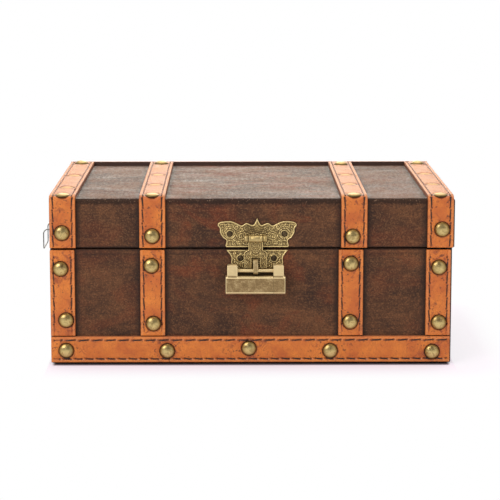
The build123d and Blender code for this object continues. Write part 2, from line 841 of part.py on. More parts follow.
def padlock_springs():
    """The two leaf springs that spread behind the key slot, fixed at the bolt's left tip."""
    tip_x = padlock_split - bolt_length
    half = leaf_spring_width / 2
    leaves = []
    for side in (-1, 1):
        y = rod_y + side * bolt_thick / 2
        points = [
            (tip_x, y),
            (tip_x + leaf_spring_foot, y),
            (tip_x + leaf_spring_length, y + side * leaf_spring_spread),
            (tip_x + leaf_spring_length, y + side * (leaf_spring_spread + leaf_spring_thick)),
            (tip_x + leaf_spring_foot, y + side * leaf_spring_thick),
            (tip_x, y + side * leaf_spring_thick),
        ]
        leaf = extrude(make_face(Polyline(points, close=True)), half, both=True)
        leaves.append(Pos(0, 0, padlock_mid) * leaf)
    return Compound(children=leaves)


def handle_plate(side):
    """The plate on one side of the base, with the two posts that carry the bail."""
    face = side * body_width / 2
    skin = side * (body_width / 2 + handle_plate_thick)
    x0, x1 = sorted((face, skin))
    half = handle_plate_width / 2
    middle = bail_pivot_z - handle_plate_drop
    z0, z1 = middle - handle_plate_height / 2, middle + handle_plate_height / 2
    plate = block(x0, x1, -half, half, z0, z1)
    plate = fillet(plate.edges().filter_by(Axis.X), handle_plate_height / 2 - bail_wire_radius)
    pivot_x = side * (body_width / 2 + bail_pivot_out)
    for way in (-1, 1):
        y = way * (bail_span / 2 - post_offset - post_thick / 2 - bail_wire_radius)
        x2, x3 = sorted((face, pivot_x))
        low, high = bail_pivot_z - post_radius, bail_pivot_z + post_radius
        post = block(x2, x3, y - post_thick / 2, y + post_thick / 2, low, high)
        post += Pos(pivot_x, y, bail_pivot_z) * Rot(90, 0, 0) * Cylinder(post_radius, post_thick)
        plate += post
    bore = Rot(90, 0, 0) * Cylinder(bail_wire_radius + running_clearance, handle_plate_width)
    plate -= Pos(pivot_x, 0, bail_pivot_z) * bore
    return plate - side_base_holes(side)


def bail(side):
    """The wire bail: two crooked arms and a level grip, its ends turned into the posts."""
    x = body_width / 2 + bail_pivot_out
    z = bail_pivot_z
    y = bail_span / 2
    reach = right_bail_reach if side > 0 else left_bail_reach
    arm = [
        (x, y - bail_end, z),
        (x, y, z),
        (x + reach * bail_crest_share, y, z + bail_crest_rise),
        (x + reach, y, z + bail_shoulder_rise),
        (x + reach, y, z - bail_drop),
    ]
    points = arm + [(px, -py, pz) for px, py, pz in reversed(arm)]
    crest_bend, shoulder_bend = reach * bail_crest_bend_share, reach * bail_shoulder_bend_share
    bends = [bail_eye_bend, crest_bend, shoulder_bend, bail_grip_bend]
    path = FilletPolyline(*points, radius=bends + bends[::-1])
    start = Plane(origin=points[0], z_dir=(0, 1, 0))
    wire = sweep(start * Circle(bail_wire_radius), path=path)
    return wire if side > 0 else mirror(wire, about=Plane.YZ)


def build_nodes():
    """Every node by name."""
    nodes = {}
    nodes.update(base_boards())
    nodes.update(lid_boards())
    nodes["base_cover"] = base_cover()
    nodes["lid_cover"] = lid_cover()
    nodes["base_lining"] = base_lining()
    nodes["lid_lining"] = lid_lining()
    nodes["underside_sheet"] = underside_sheet()
    names = ("left_end", "left_inner", "right_inner", "right_end")
    for name, lid_centre, base_centre in zip(names, lid_strap_centres(), base_strap_centres()):
        nodes[f"lid_strap_{name}"] = lid_strap(lid_centre)
        nodes[f"base_strap_{name}"] = base_strap(base_centre)
    nodes["bottom_band"] = bottom_band()
    nodes["lid_rear_band"] = lid_rear_band()
    nail = dome_nail()
    lid_places = [place for group in lid_nail_places() for place in group]
    nodes["lid_nails"] = Compound(children=[place * nail for place in lid_places])
    nodes["base_nails"] = Compound(children=[place * nail for place in base_nail_places()])
    for name, centre in zip(("left", "right"), hinge_centres()):
        nodes[f"{name}_hinge_lid_leaf"] = hinge_leaf(centre, 1)
        nodes[f"{name}_hinge_base_leaf"] = hinge_leaf(centre, -1)
        nodes[f"{name}_hinge_pin"] = hinge_pin(centre)
    nodes["hasp_plate"] = hasp_plate()
    nodes["hasp_flap"] = hasp_flap()
    nodes["hasp_pin"] = hasp_pin()
    nodes["catch_plate"] = catch_plate()
    nodes["staple"] = staple()
    nodes["padlock_body"] = padlock_body()
    nodes["padlock_shackle"] = padlock_shackle()
    nodes["padlock_springs"] = padlock_springs()
    screw = round_screw()
    groups = {
        "hasp_screws": hasp_screw_places(),
        "catch_screws": catch_screw_places(),
        "hinge_lid_screws": hinge_screw_places(1),
        "hinge_base_screws": hinge_screw_places(-1),
        "left_handle_screws": handle_screw_places(-1),
        "right_handle_screws": handle_screw_places(1),
    }
    for name, places in groups.items():
        nodes[name] = Compound(children=[place * screw for place in places])
    for name, side in (("left", -1), ("right", 1)):
        nodes[f"{name}_handle_plate"] = handle_plate(side)
        nodes[f"{name}_bail"] = bail(side)
    return nodes


os.makedirs("parts", exist_ok=True)
for node_name, node_shape in build_nodes().items():
    export_step(node_shape, f"parts/{node_name}.step")
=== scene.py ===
import math
from collections import namedtuple
from contextlib import contextmanager
from functools import reduce
import bmesh
import bpy
import numpy as np
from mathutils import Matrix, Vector
from mathutils.geometry import delaunay_2d_cdt


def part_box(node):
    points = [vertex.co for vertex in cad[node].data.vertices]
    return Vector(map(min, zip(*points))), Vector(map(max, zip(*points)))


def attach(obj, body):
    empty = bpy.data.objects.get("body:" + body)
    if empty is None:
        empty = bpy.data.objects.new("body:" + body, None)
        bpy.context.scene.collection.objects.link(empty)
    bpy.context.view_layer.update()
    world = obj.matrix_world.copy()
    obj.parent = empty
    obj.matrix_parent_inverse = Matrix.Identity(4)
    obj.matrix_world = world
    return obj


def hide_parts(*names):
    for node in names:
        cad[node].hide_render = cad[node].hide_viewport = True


# The small trunk's looks: leatherette, stitched straps, nails and stamped brass around the CAD.
# Lengths are millimetres, times mm where Blender wants metres.

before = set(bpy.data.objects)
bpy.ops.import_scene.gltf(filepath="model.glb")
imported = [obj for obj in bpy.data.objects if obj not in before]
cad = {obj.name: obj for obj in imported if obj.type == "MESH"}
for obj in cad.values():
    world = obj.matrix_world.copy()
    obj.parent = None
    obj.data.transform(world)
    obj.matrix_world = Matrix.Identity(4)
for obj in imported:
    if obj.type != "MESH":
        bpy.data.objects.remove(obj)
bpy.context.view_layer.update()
scene = bpy.context.scene
mm = 0.001

# Sizes repeated from the solid model
cover_radius = 2.0
strap_thick = 3.0
nail_radius = 5.6
nail_dome = 2.5
plate_thick = 1.2
knuckle_radius = 2.6
ear_height = 8.2

# Places read from the solid model
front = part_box("base_cover")[0].y / mm
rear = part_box("base_cover")[1].y / mm
left_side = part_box("base_cover")[0].x / mm
lid_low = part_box("lid_cover")[0].z / mm
lid_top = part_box("lid_cover")[1].z / mm
plate_front = front - plate_thick

# Stitches: in from the strap's edge, slant across each one, depth of the line they lie in,
# share of a pitch kept clear at a seam's ends, and how far they may reach under a nail
stitch_inset = 2.6
stitch_slant = 0.08
stitch_line_depth = 0.34
stitch_margin = 0.3
stitch_under_nail = 0.6


# Node writing

def by_math(operation, swapped=False):
    """A method that adds one Math node for a signal and another value."""
    def method(self, other):
        return self.maths(operation, *((other, self) if swapped else (self, other)))
    return method


class Signal:
    """One output of a node. Sums, products and the like of these add Math nodes."""

    def __init__(self, board, socket):
        self.board = board
        self.socket = socket

    def out(self, name):
        return Signal(self.board, self.socket.node.outputs[name])

    def maths(self, operation, *values):
        return self.board.add("ShaderNodeMath", dict(enumerate(values)), operation=operation)

    __add__, __radd__ = by_math("ADD"), by_math("ADD", True)
    __sub__, __rsub__ = by_math("SUBTRACT"), by_math("SUBTRACT", True)
    __mul__, __rmul__ = by_math("MULTIPLY"), by_math("MULTIPLY", True)
    __pow__, least, most = by_math("POWER"), by_math("MINIMUM"), by_math("MAXIMUM")

    def __neg__(self):
        return self * -1.0

    def __abs__(self):
        return self.maths("ABSOLUTE", self)

    def fraction(self):
        return self.maths("FRACT", self)

    def wave(self):
        return self.maths("SINE", self)

    def rise(self, low, high):
        """0 below low, 1 above high, eased between them."""
        values = {"Value": self, "From Min": low, "From Max": high}
        return self.board.add("ShaderNodeMapRange", values, interpolation_type="SMOOTHSTEP")

    def fall(self, low, high):
        """1 below low, 0 above high."""
        return 1 - self.rise(low, high)


def length_of(a, b):
    """The length of a step that goes a one way and b across it."""
    return (a * a + b * b) ** 0.5


class Board:
    """A node tree being written. add() makes any node: its settings are set first, then its inputs."""

    def __init__(self, tree):
        self.tree = tree
        self.tree.nodes.clear()

    def add(self, kind, inputs=None, output=0, **settings):
        node = self.tree.nodes.new(kind)
        for key, value in settings.items():
            setattr(node, key, value)
        for key, value in (inputs or {}).items():
            if isinstance(value, Signal):
                self.tree.links.new(value.socket, node.inputs[key])
            else:
                node.inputs[key].default_value = value
        return Signal(self, node.outputs[output]) if len(node.outputs) else None

    def split(self, vector):
        parts = self.add("ShaderNodeSeparateXYZ", {0: vector})
        return parts.out("X"), parts.out("Y"), parts.out("Z")

    def vector(self, **parts):
        return self.add("ShaderNodeCombineXYZ", parts)


class Finish(Board):
    """A material."""

    def __init__(self, name):
        self.material = bpy.data.materials.new(name)
        self.material.use_nodes = True
        super().__init__(self.material.node_tree)
        self.place = self.add("ShaderNodeTexCoord").out("Object")

    def carried(self, name):
        """A number kept on the piece's own points."""
        return self.add("ShaderNodeAttribute", attribute_name=name).out("Fac")

    def cloud(self, scale, detail=3.0, roughness=0.5, bend=0.0, stretch=None):
        """Noise, with longer blobs along the axes whose stretch is below 1."""
        place = self.place
        if stretch:
            place = self.add("ShaderNodeVectorMath", {0: place, 1: stretch}, operation="MULTIPLY")
        values = {"Scale": scale, "Detail": detail, "Roughness": roughness, "Distortion": bend}
        return self.add("ShaderNodeTexNoise", {"Vector": place, **values})

    def cells(self, scale, feature):
        return self.add("ShaderNodeTexVoronoi", {"Vector": self.place, "Scale": scale}, feature=feature)

    def paint(self, under, over, amount):
        return self.add("ShaderNodeMix", {0: amount, 6: under, 7: over}, 2, data_type="RGBA")

    def coats(self, under, over, amount, *more):
        """A screen colour over another, then each further pair of a screen colour and its amount."""
        colour = tone(*under)
        for hue, share in ((over, amount), *more):
            colour = self.paint(colour, tone(*hue), share)
        return colour

    def close(self, colour, roughness, bumps, metallic=0.0, **fixed):
        """Chains the bumps, each a height, its depth and its strength, then adds the shader."""
        values = {"Base Color": colour, "Roughness": roughness, "Metallic": metallic, **fixed}
        for height, depth, strength in bumps:
            bump = {"Height": height, "Distance": depth, "Strength": strength}
            if "Normal" in values:
                bump["Normal"] = values["Normal"]
            values["Normal"] = self.add("ShaderNodeBump", bump)
        shader = self.add("ShaderNodeBsdfPrincipled", values)
        self.add("ShaderNodeOutputMaterial", {"Surface": shader})
        return self.material


def tone(red, green, blue):
    """A colour in screen values, 0 to 255, as the shader wants it."""
    def linear(value):
        value /= 255
        return value / 12.92 if value <= 0.04045 else ((value + 0.055) / 1.055) ** 2.4
    return linear(red), linear(green), linear(blue), 1.0


# Finishes. Distances in them are metres, and cloud scales are blobs per metre.

def leatherette(name, case, straps, everywhere):
    """Mottled brown leatherette with a pebble grain, darker at its edges, with painted shade where the lid
    meets the base and beside the straps.
    """
    f = Finish(name)
    x, y, z = f.split(f.place)
    low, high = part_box(case)
    across = (x - low.x).least(high.x - x)
    deep = (y - low.y).least(high.y - y)
    up = (z - low.z).least(high.z - z)
    edge = across.least(deep).most(across.most(deep).least(up))
    upper = z.rise(high.z - 0.0010, high.z - 0.0002)

    patches = f.cloud(24, 5, 0.62, 0.6)
    warm = f.cloud(34, 3, 0.5, 0.8, stretch=(1, 1, 1.3))
    drifts = f.cloud(80, 4, 0.6, 0.3, stretch=(0.30, 1, 1))
    streaks = f.cloud(420, 4, 0.65, 0.2, stretch=(0.10, 0.55, 1.0))
    brushed = f.cloud(800, 3, 0.7, stretch=(0.7, 0.16, 1))
    smeared = f.cloud(30, 3, 0.6, 1.2, stretch=(0.45, 1, 1))
    creases = f.cloud(240, 4, 0.7, stretch=(0.25, 0.7, 1.0))
    fine = f.cloud(900, 3, 0.75)
    tooth = f.cloud(700, 2, 0.6)
    pebble = f.cells(1250.0, "F1")
    chance, _, _ = f.split(pebble.out("Color"))

    hasp_x, hasp_z = 0.004, 0.088
    reddened = 0.25 + 0.40 * length_of(x - hasp_x, z - hasp_z).fall(0.03, 0.11)
    drifting = 1 - 0.65 * upper
    off_seam = abs(z - lid_low * mm).rise(0.003, 0.006)
    lowered = y.fall(low.y + 0.0003, low.y + 0.0014) * 0.0014
    # Darker at the edges: a wider band, kept off the seam, and a narrow one right at every edge, which along
    # the seam between lid and base is painted shade.
    dark = (edge - lowered + (tooth - 0.5) * 0.0050).fall(0.0014, 0.0036) * off_seam
    dark = dark.most((edge + (fine - 0.5) * 0.0012).fall(0.0003, 0.0012))
    beside = reduce(Signal.least, [abs(x - centre) - half for centre, half in straps])
    faces = y.fall(high.y - 0.002, high.y) if everywhere else y.fall(low.y + 0.001, low.y + 0.004)
    # Painted shade beside the straps, on the faces next to where they stand proud.
    shade = (beside + (fine - 0.5) * 0.0024).fall(-0.0004, 0.0056) * faces * across.rise(0.0001, 0.0006)
    frayed = tooth.rise(0.60, 0.70) * edge.fall(0.0016, 0.0030) * off_seam
    colour = f.coats(
        (60, 35, 20), (102, 63, 36), patches.rise(0.34, 0.68),
        ((122, 54, 24), warm.rise(0.46, 0.70) * reddened),
        ((128, 80, 44), drifts.rise(0.54, 0.76) * 0.36 * drifting),
        ((50, 32, 22), drifts.fall(0.30, 0.46) * 0.45 * drifting),
        ((126, 82, 50), streaks.rise(0.52, 0.70) * 0.34),
        ((42, 27, 17), streaks.fall(0.32, 0.46) * 0.38),
        ((40, 26, 18), fine.fall(0.34, 0.52) * 0.42),
        ((148, 100, 64), chance.rise(0.60, 1.0) * 0.26),
        ((30, 19, 13), chance.fall(0.0, 0.36) * 0.34),
        ((38, 26, 20), (dark * 0.78).most(shade * 0.80)),
        ((150, 116, 92), frayed * 0.55),
    )
    uneven = ((streaks - 0.5) * 0.26 + (brushed - 0.5) * 0.50 + (smeared - 0.5) * 0.32) * upper
    roughness = 0.48 + 0.12 * patches + 0.10 * fine + 0.25 * dark + uneven
    grain = 1 - pebble + fine * 0.8
    bumps = [(creases, 0.0009, 0.30), (streaks, 0.0006, 0.08), (grain, 0.00022, 0.55)]
    return f.close(colour, roughness, bumps, **{"Specular IOR Level": 0.25})


def strap_leather(name, pitch, share, ink_and_sheen):
    """Orange-tan leather with stitch holes, dark stains and edges in their own colour: dark ink on the
    straps, a paler painted sheen on the bands.
    """
    f = Finish(name)
    _, _, z = f.split(f.place)
    edge = f.carried("edge_distance")
    phase = f.carried("stitch_phase")
    sewn = f.carried("sewn")
    nail = f.carried("nail_distance")
    flesh = f.carried("flesh_side")
    patches = f.cloud(60, 4, 0.6, 0.4)
    fine = f.cloud(900, 3, 0.7)
    blots = f.cloud(150, 4, 0.65, 1.2)
    smears = f.cloud(120, 4, 0.7, 1.6, stretch=(1.4, 1, 0.5))
    flecks = f.cloud(430, 2, 0.6)
    pores = f.cells(1500, "DISTANCE_TO_EDGE").rise(0.0, 0.25)

    # Painted sheen: the straps' tops, over the lid, are painted paler.
    top_sheen = z.rise((lid_top + 1.6) * mm, (lid_top + 2.4) * mm)
    worn = (nail.fall(0.0060, 0.0200) * 0.70 + 0.20) * blots.rise(0.50, 0.68)
    veins = abs(smears - 0.50).fall(0.0, 0.022) * patches.rise(0.46, 0.60)
    # Painted highlight: the margins outside the stitch lines are painted lighter.
    margin = edge.rise(0.0002, 0.0006) * (edge + (fine - 0.5) * 0.0006).fall(0.0016, 0.0023)
    # The edges take the edge colour: dark ink on the upright straps, a paler painted sheen on the bands.
    ink_and_sheen_edges = (edge + (fine - 0.5) * 0.0002).fall(0.00002, 0.00030)
    # Where a point lies from the middle line and the ends of its stitch
    stitch = pitch * mm
    turn = phase.fraction()
    start, stop = (1 - share) / 2, (1 + share) / 2
    sideways = edge - stitch_inset * mm + (turn - 0.5) * (stitch_slant * stitch)
    # Painted shade in the pressed stitch line.
    groove_shade = abs(sideways + (fine - 0.5) * 0.0009).fall(0.0002, 0.0008) * sewn
    end = abs(turn - start).least(abs(turn - stop)) * stitch
    # The stitch holes are painted dark: painted shade in the holes.
    hole = length_of(end, sideways).fall(0.0002, 0.0022 - 0.0016 * share) * sewn
    glint = length_of((turn - stop) * stitch - 0.0014, sideways).fall(0.0003, 0.0009) * sewn
    colour = f.coats(
        (186, 90, 22), (216, 121, 36), patches.rise(0.30, 0.70),
        ((158, 72, 22), fine.fall(0.32, 0.50) * 0.30),
        ((200, 174, 140), top_sheen * 0.30),
        ((138, 58, 20), worn),
        ((118, 46, 18), veins * 0.34),
        ((98, 40, 18), smears.rise(0.66, 0.74) * 0.55),
        ((74, 28, 13), nail.fall(0.0060, 0.0320) * flecks.rise(0.62, 0.68) * 0.75),
        ((230, 146, 84), margin * 0.26),
        ((108, 46, 20), groove_shade * 0.62),
        ((54, 22, 13), hole * 0.75),
        ((240, 170, 120), glint * 0.40),
        # Painted shade: a dark ring on the leather round each nail's head.
        ((46, 22, 14), nail.fall(0.0056, 0.0063) * 0.80),
        (ink_and_sheen, ink_and_sheen_edges * 0.70),
        ((44, 31, 27), flesh.rise(0.2, 0.6) * 0.92),
    )
    roughness = 0.42 + 0.14 * patches + 0.12 * (1 - pores)
    bumps = [
        (patches + blots * 0.5, 0.0006, 0.30),
        (pores * 0.7 + fine, 0.00012, 0.45),
        (1 - hole, 0.0005, 0.8),
    ]
    return f.close(colour, roughness, bumps, **{"Specular IOR Level": 0.55})


def thread():
    """Dark waxed thread with the lay of its two plies."""
    f = Finish("Waxed_thread")
    ply = ((f.carried("thread_along") * 40).wave() + 1) * 0.5
    fuzz = f.cloud(2600, 3, 0.7)
    colour = f.coats((30, 12, 8), (62, 28, 16), ply * 0.5 + fuzz * 0.4)
    return f.close(colour, 0.55 + 0.2 * fuzz, [(ply, 0.0001, 0.6), (fuzz, 0.00008, 0.5)])


def embossed_brass():
    """Stamped brass: its ridges rubbed bright, brown patina in the grooves, painted shade below the lock's
    rod.
    """
    f = Finish("Embossed_brass")
    _, _, z = f.split(f.place)
    height = f.carried("relief")
    tarnish = f.cloud(150, 4, 0.65, 0.5)
    speck = f.cloud(1500, 3, 0.7)
    rub = (height + (speck - 0.5) * 0.40 + (tarnish - 0.5) * 0.6).rise(0.36, 0.88)
    hollow = (height + (speck - 0.5) * 0.30).fall(0.06, 0.40)
    colour = f.coats(
        (174, 148, 94), (122, 99, 60), (tarnish * 0.7 + speck * 0.3).rise(0.44, 0.62),
        ((248, 221, 158), rub * 0.92),
        ((76, 58, 33), hollow * 0.80),
        # Painted shade below the lock's rod, where the padlock shelters the catch plate.
        ((42, 30, 20), z.fall(0.0672, 0.0690) * 0.80),
    )
    roughness = 0.34 + 0.20 * tarnish + 0.16 * hollow
    return f.close(colour, roughness, [(speck, 0.00014, 0.45)], 0.90 - 0.35 * hollow)


def lock_brass(name, bright, middle, patina, share, crown=None):
    """Cast brass with a fine grain, light where its edges are rubbed, which is partly a painted highlight,
    and with a painted highlight above a height.
    """
    f = Finish(name)
    tarnish = f.cloud(190, 4, 0.65, 0.5)
    speck = f.cloud(1300, 3, 0.75)
    lines = f.cloud(1900, 2, 0.6, stretch=(0.12, 1, 1))
    body = tarnish * 0.55 + speck * 0.45
    layers = [(bright, body.fall(0.38, 0.50) * 0.30)]
    # Painted highlight: above the crown's height the lock's ears are painted light.
    if crown:
        _, _, z = f.split(f.place)
        layers.append((bright, (z + (speck - 0.5) * 0.0006).rise(crown, crown + 0.0012) * 0.68))
    # Rubbed edges: partly wear, partly a painted highlight along the bevels.
    rub = (f.carried("rubbed") + (speck - 0.5) * 0.35).rise(0.30, 0.75)
    layers.append((bright, rub * 0.92))
    colour = f.coats(middle, patina, body.rise(0.46, 0.62) * share, *layers)
    roughness = 0.36 + 0.18 * body + 0.06 * lines - 0.06 * rub
    bumps = [(speck, 0.00016, 0.50), (lines, 0.00005, 0.30), (tarnish, 0.0005, 0.15)]
    return f.close(colour, roughness, bumps, 0.88 - 0.25 * body)


def dull_brass(name, bright, middle, patina):
    """Dark brass of the screws and pins, that nobody rubs."""
    f = Finish(name)
    tarnish = f.cloud(420, 4, 0.65, 0.5)
    speck = f.cloud(1700, 3, 0.7)
    stained, rubbed = tarnish.rise(0.44, 0.62) * 0.8, speck.rise(0.56, 0.74) * 0.5
    colour = f.coats(middle, patina, stained, (bright, rubbed))
    return f.close(colour, 0.34 + 0.25 * tarnish, [(speck, 0.00012, 0.45), (tarnish, 0.0003, 0.2)], 0.88)


def nail_brass():
    """Domed nail heads: bright at the crown, dark round the rim, and on the lid's top painted with a pale
    sheen, in the strap's colour on the middle ones.
    """
    f = Finish("Nail_brass")
    _, y, z = f.split(f.place)
    dome = f.carried("dome")
    speck = f.cloud(1300, 3, 0.7)
    tarnish = f.cloud(260, 4, 0.6, 0.4)
    # Painted sheen: heads on the lid's top are painted paler, and the middle rows in the straps' pale top
    # colour.
    laid = z.rise((lid_top + 1) * mm, (lid_top + 1.6) * mm)
    flush = laid * y.rise((front + 20) * mm, (front + 25) * mm) * y.fall((rear - 35) * mm, (rear - 30) * mm)
    rim = (dome - laid * 0.24 + (speck - 0.5) * 0.2).fall(0.10, 0.46)
    colour = f.coats(
        (140, 108, 56), (210, 184, 124), (dome + (tarnish - 0.5) * 0.6).rise(0.45, 0.98),
        ((112, 84, 44), tarnish.rise(0.48, 0.64) * 0.50),
        ((150, 96, 56), tarnish.fall(0.34, 0.44) * 0.40),
        # Painted sheen on the heads on the lid's top.
        ((198, 170, 116), laid * 0.48),
        ((216, 166, 114), flush * 0.65),
        ((44, 32, 20), rim * (1 - 0.45 * laid)),
    )
    roughness = 0.19 + 0.15 * tarnish + 0.06 * speck + 0.15 * laid + 0.18 * flush
    return f.close(colour, roughness, [(speck, 0.0001, 0.30), (tarnish, 0.0006, 0.22)], 0.96 - 0.50 * flush)


def wire_steel():
    """Dull grey wire with drawn lines and dark spots."""
    f = Finish("Bail_wire")
    spots = f.cloud(900, 3, 0.6)
    drawn = f.cloud(3000, 2, stretch=(1, 1, 0.1))
    colour = f.coats((150, 148, 142), (92, 88, 82), spots.rise(0.45, 0.62))
    return f.close(colour, 0.32 + 0.2 * spots, [(drawn, 0.00005, 0.5)], 0.95)


def flocked_lining():
    """Dark brown flock: a short brushed pile."""
    f = Finish("Flock_lining")
    pile = f.cloud(3200, 2, 0.8)
    brushed = f.cloud(45, 3, 0.5, 0.8)
    hollows = pile.fall(0.34, 0.52) * 0.6
    colour = f.coats((52, 32, 24), (82, 54, 40), brushed.rise(0.40, 0.62), ((30, 19, 15), hollows))
    fixed = {"Sheen Weight": 0.35, "Sheen Roughness": 0.5, "Specular IOR Level": 0.2}
    return f.close(colour, 0.82 + 0.1 * pile, [(brushed, 0.0008, 0.2), (pile, 0.0004, 0.7)], **fixed)


def felt():
    """Black-brown felt with matted fibres."""
    f = Finish("Underside_felt")
    fibres = f.cloud(1700, 4, 0.8, 2.0, stretch=(1, 0.5, 1))
    worn = f.cloud(40, 3).rise(0.58, 0.75) * 0.3
    colour = f.coats((34, 28, 27), (66, 56, 52), fibres.rise(0.42, 0.70), ((88, 78, 70), worn))
    return f.close(colour, 0.9 + 0.06 * fibres, [(fibres, 0.0005, 0.6)], **{"Specular IOR Level": 0.15})


def fibreboard():
    """Raw fibreboard with pressed fibres."""
    f = Finish("Fibreboard")
    fibres = f.cloud(1200, 4, 0.7, 1.0, stretch=(0.3, 0.3, 1))
    drift = f.cloud(30, 3).rise(0.5, 0.7) * 0.4
    colour = f.coats((166, 130, 88), (204, 172, 128), fibres.rise(0.35, 0.65), ((148, 112, 76), drift))
    return f.close(colour, 0.75 + 0.15 * fibres, [(fibres, 0.0003, 0.5)])


# Meshes and pieces

def set_piece(name, mesh, body, slot, finish, *nodes):
    """Puts a mesh in the scene as a piece that rides on a body and stands for CAD nodes."""
    mesh.materials.clear()
    mesh.materials.append(finish)
    piece = linked(name, mesh)
    if nodes:
        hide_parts(*nodes)
    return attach(piece, body)


def linked(name, data):
    """A new object in the scene."""
    piece = bpy.data.objects.new(name, data)
    scene.collection.objects.link(piece)
    return piece


def repaint(node, finish):
    """Gives a CAD node that stays a better finish."""
    for slot in cad[node].material_slots:
        slot.material = finish


def new_mesh(name, points, faces):
    """A mesh with its faces turned outwards, from points in millimetres."""
    mesh = bpy.data.meshes.new(name)
    mesh.from_pydata((np.asarray(points, float) * mm).tolist(), [], faces)
    with opened(mesh) as work:
        bmesh.ops.recalc_face_normals(work, faces=work.faces)
    return mesh


@contextmanager
def opened(mesh, keep=True):
    """A mesh opened for edits, which are kept unless it is only looked at."""
    work = bmesh.new()
    work.from_mesh(mesh)
    yield work
    if keep:
        work.to_mesh(mesh)
    work.free()


def carry(mesh, name, values, kind="FLOAT", key="value"):
    """Keeps one number, or one vector, for each point of a mesh."""
    attribute = mesh.attributes.new(name, kind, "POINT")
    attribute.data.foreach_set(key, np.asarray(values, np.float32).ravel())


def smooth(mesh, degrees=35):
    mesh.shade_smooth()
    mesh.set_sharp_from_angle(angle=math.radians(degrees))


def merged_copy(node, flat=True):
    """A copy of a CAD node's mesh with its points joined and its flat faces whole."""
    mesh = cad[node].data.copy()
    with opened(mesh) as work:
        join_points(work)
        if flat:
            bmesh.ops.dissolve_limit(
                work, angle_limit=math.radians(0.5), verts=work.verts, edges=work.edges,
                use_dissolve_boundaries=False,
            )
    for name in [a.name for a in mesh.attributes if a.name.startswith("custom")]:
        mesh.attributes.remove(mesh.attributes[name])
    return mesh


def join_points(work):
    """Joins the points that the faces of a solid hold in common."""
    bmesh.ops.remove_doubles(work, verts=work.verts, dist=0.002 * mm)


def evaluated(piece):
    """The plain mesh of an object with its modifiers applied. The object itself goes."""
    graph = bpy.context.evaluated_depsgraph_get()
    mesh = bpy.data.meshes.new_from_object(piece.evaluated_get(graph), depsgraph=graph)
    bpy.data.objects.remove(piece)
    return mesh


def joined(name, meshes):
    """Several meshes as one, with what their points carry."""
    if len(meshes) > 1:
        pieces = [linked(f"{name}_{index}", mesh) for index, mesh in enumerate(meshes)]
        chosen = {"active_object": pieces[0], "selected_editable_objects": pieces, "selected_objects": pieces}
        with bpy.context.temp_override(**chosen):
            bpy.ops.object.join()
        meshes = [pieces[0].data]
        bpy.data.objects.remove(pieces[0])
    meshes[0].name = name
    return meshes[0]


def sharp(edge, degrees):
    return len(edge.link_faces) == 2 and edge.calc_face_angle(0) > math.radians(degrees)


def in_joint(edge, joint_x):
    """Whether an edge lies in a joint's plane across x, where it is neither rounded nor rubbed, nor given a
    painted highlight.
    """
    return joint_x is not None and all(abs(v.co.x - joint_x) < 0.3 * mm for v in edge.verts)


def keen_edges(mesh, degrees=40, joint_x=None):
    """The outward-turned sharp edges of a mesh, as pairs of points in metres."""
    with opened(mesh, keep=False) as work:
        return np.array([
            (e.verts[0].co[:], e.verts[1].co[:])
            for e in work.edges
            if e.is_convex and sharp(e, degrees) and not in_joint(e, joint_x)
        ])


def finer(mesh, longest):
    """Cuts a mesh's long edges until all are short, for values kept on its points."""
    with opened(mesh) as work:
        for _ in range(7):
            bmesh.ops.triangulate(work, faces=work.faces)
            long = [e for e in work.edges if e.calc_length() > longest]
            if not long:
                break
            bmesh.ops.subdivide_edges(work, edges=long, cuts=1)
        bmesh.ops.triangulate(work, faces=work.faces)


def gap_to(points, runs):
    """The distance from each point to the nearest of some straight runs, each a pair of points."""
    best = np.full(len(points), 1e9)
    for a, b in runs:
        way = b - a
        t = np.clip(((points - a) @ way) / max(way @ way, 1e-12), 0, 1)
        best = np.minimum(best, np.linalg.norm(points - a - t[:, None] * way, axis=1))
    return best


def rubbed_near(mesh, keen, reach):
    """How near each point is to a sharp edge: 1 on it, 0 a little way off."""
    return np.clip(1.25 - gap_to(np.array([v.co for v in mesh.vertices]), keen) / reach, 0, 1)


def eased(mesh, width, degrees=32, joint_x=None):
    """The mesh with its sharp edges rounded, as a cast or stamped piece has them."""
    layer = "bevel_weight_edge"
    with opened(mesh) as work:
        weight = work.edges.layers.float.new(layer)
        for edge in work.edges:
            edge[weight] = 1.0 if sharp(edge, degrees) and not in_joint(edge, joint_x) else 0.0
    piece = linked("To_ease", mesh)
    bevel = piece.modifiers.new("Eased", "BEVEL")
    bevel.width = width * mm
    bevel.segments = 3
    bevel.limit_method = "WEIGHT"
    result = evaluated(piece)
    if layer in result.attributes:
        result.attributes.remove(result.attributes[layer])
    return result


# How far from a sharp edge a piece is rubbed and painted with a highlight
rubbed_reach = 0.55


def eased_copy(name, node, body, finish, width, longest=0.9, joint_x=None):
    """A CAD node again with rounded edges that know how rubbed they are, which the finish also paints as a
    highlight.
    """
    mesh = merged_copy(node)
    keen = keen_edges(mesh, joint_x=joint_x)
    mesh = eased(mesh, width, joint_x=joint_x)
    mesh.name = name
    finer(mesh, longest * mm)
    carry(mesh, "rubbed", rubbed_near(mesh, keen, rubbed_reach * mm))
    smooth(mesh)
    return set_piece(name, mesh, body, "antique_brass", finish, node)


def ring_faces(rows, columns):
    """The four-sided faces of a tube of closed rings, and the rings' index."""
    index = np.arange(rows * columns).reshape(rows, columns)
    near, far = index[:-1], index[1:]
    quads = np.stack([near, np.roll(near, -1, 1), np.roll(far, -1, 1), far], 2).reshape(-1, 4)
    return quads.tolist(), index


# Leather straps

# A strap's line along the case. at() gives points on the cover, the ways out and the ways along.
Route = namedtuple("Route", "length across at")


def straight(start, along, out, across, length):
    start, along, out, across = (np.array(v, float) for v in (start, along, out, across))

    def at(run):
        run = np.asarray(run, float)[:, None]
        return start + run * along, np.repeat(out[None], len(run), 0), np.repeat(along[None], len(run), 0)
    return Route(length, across, at)


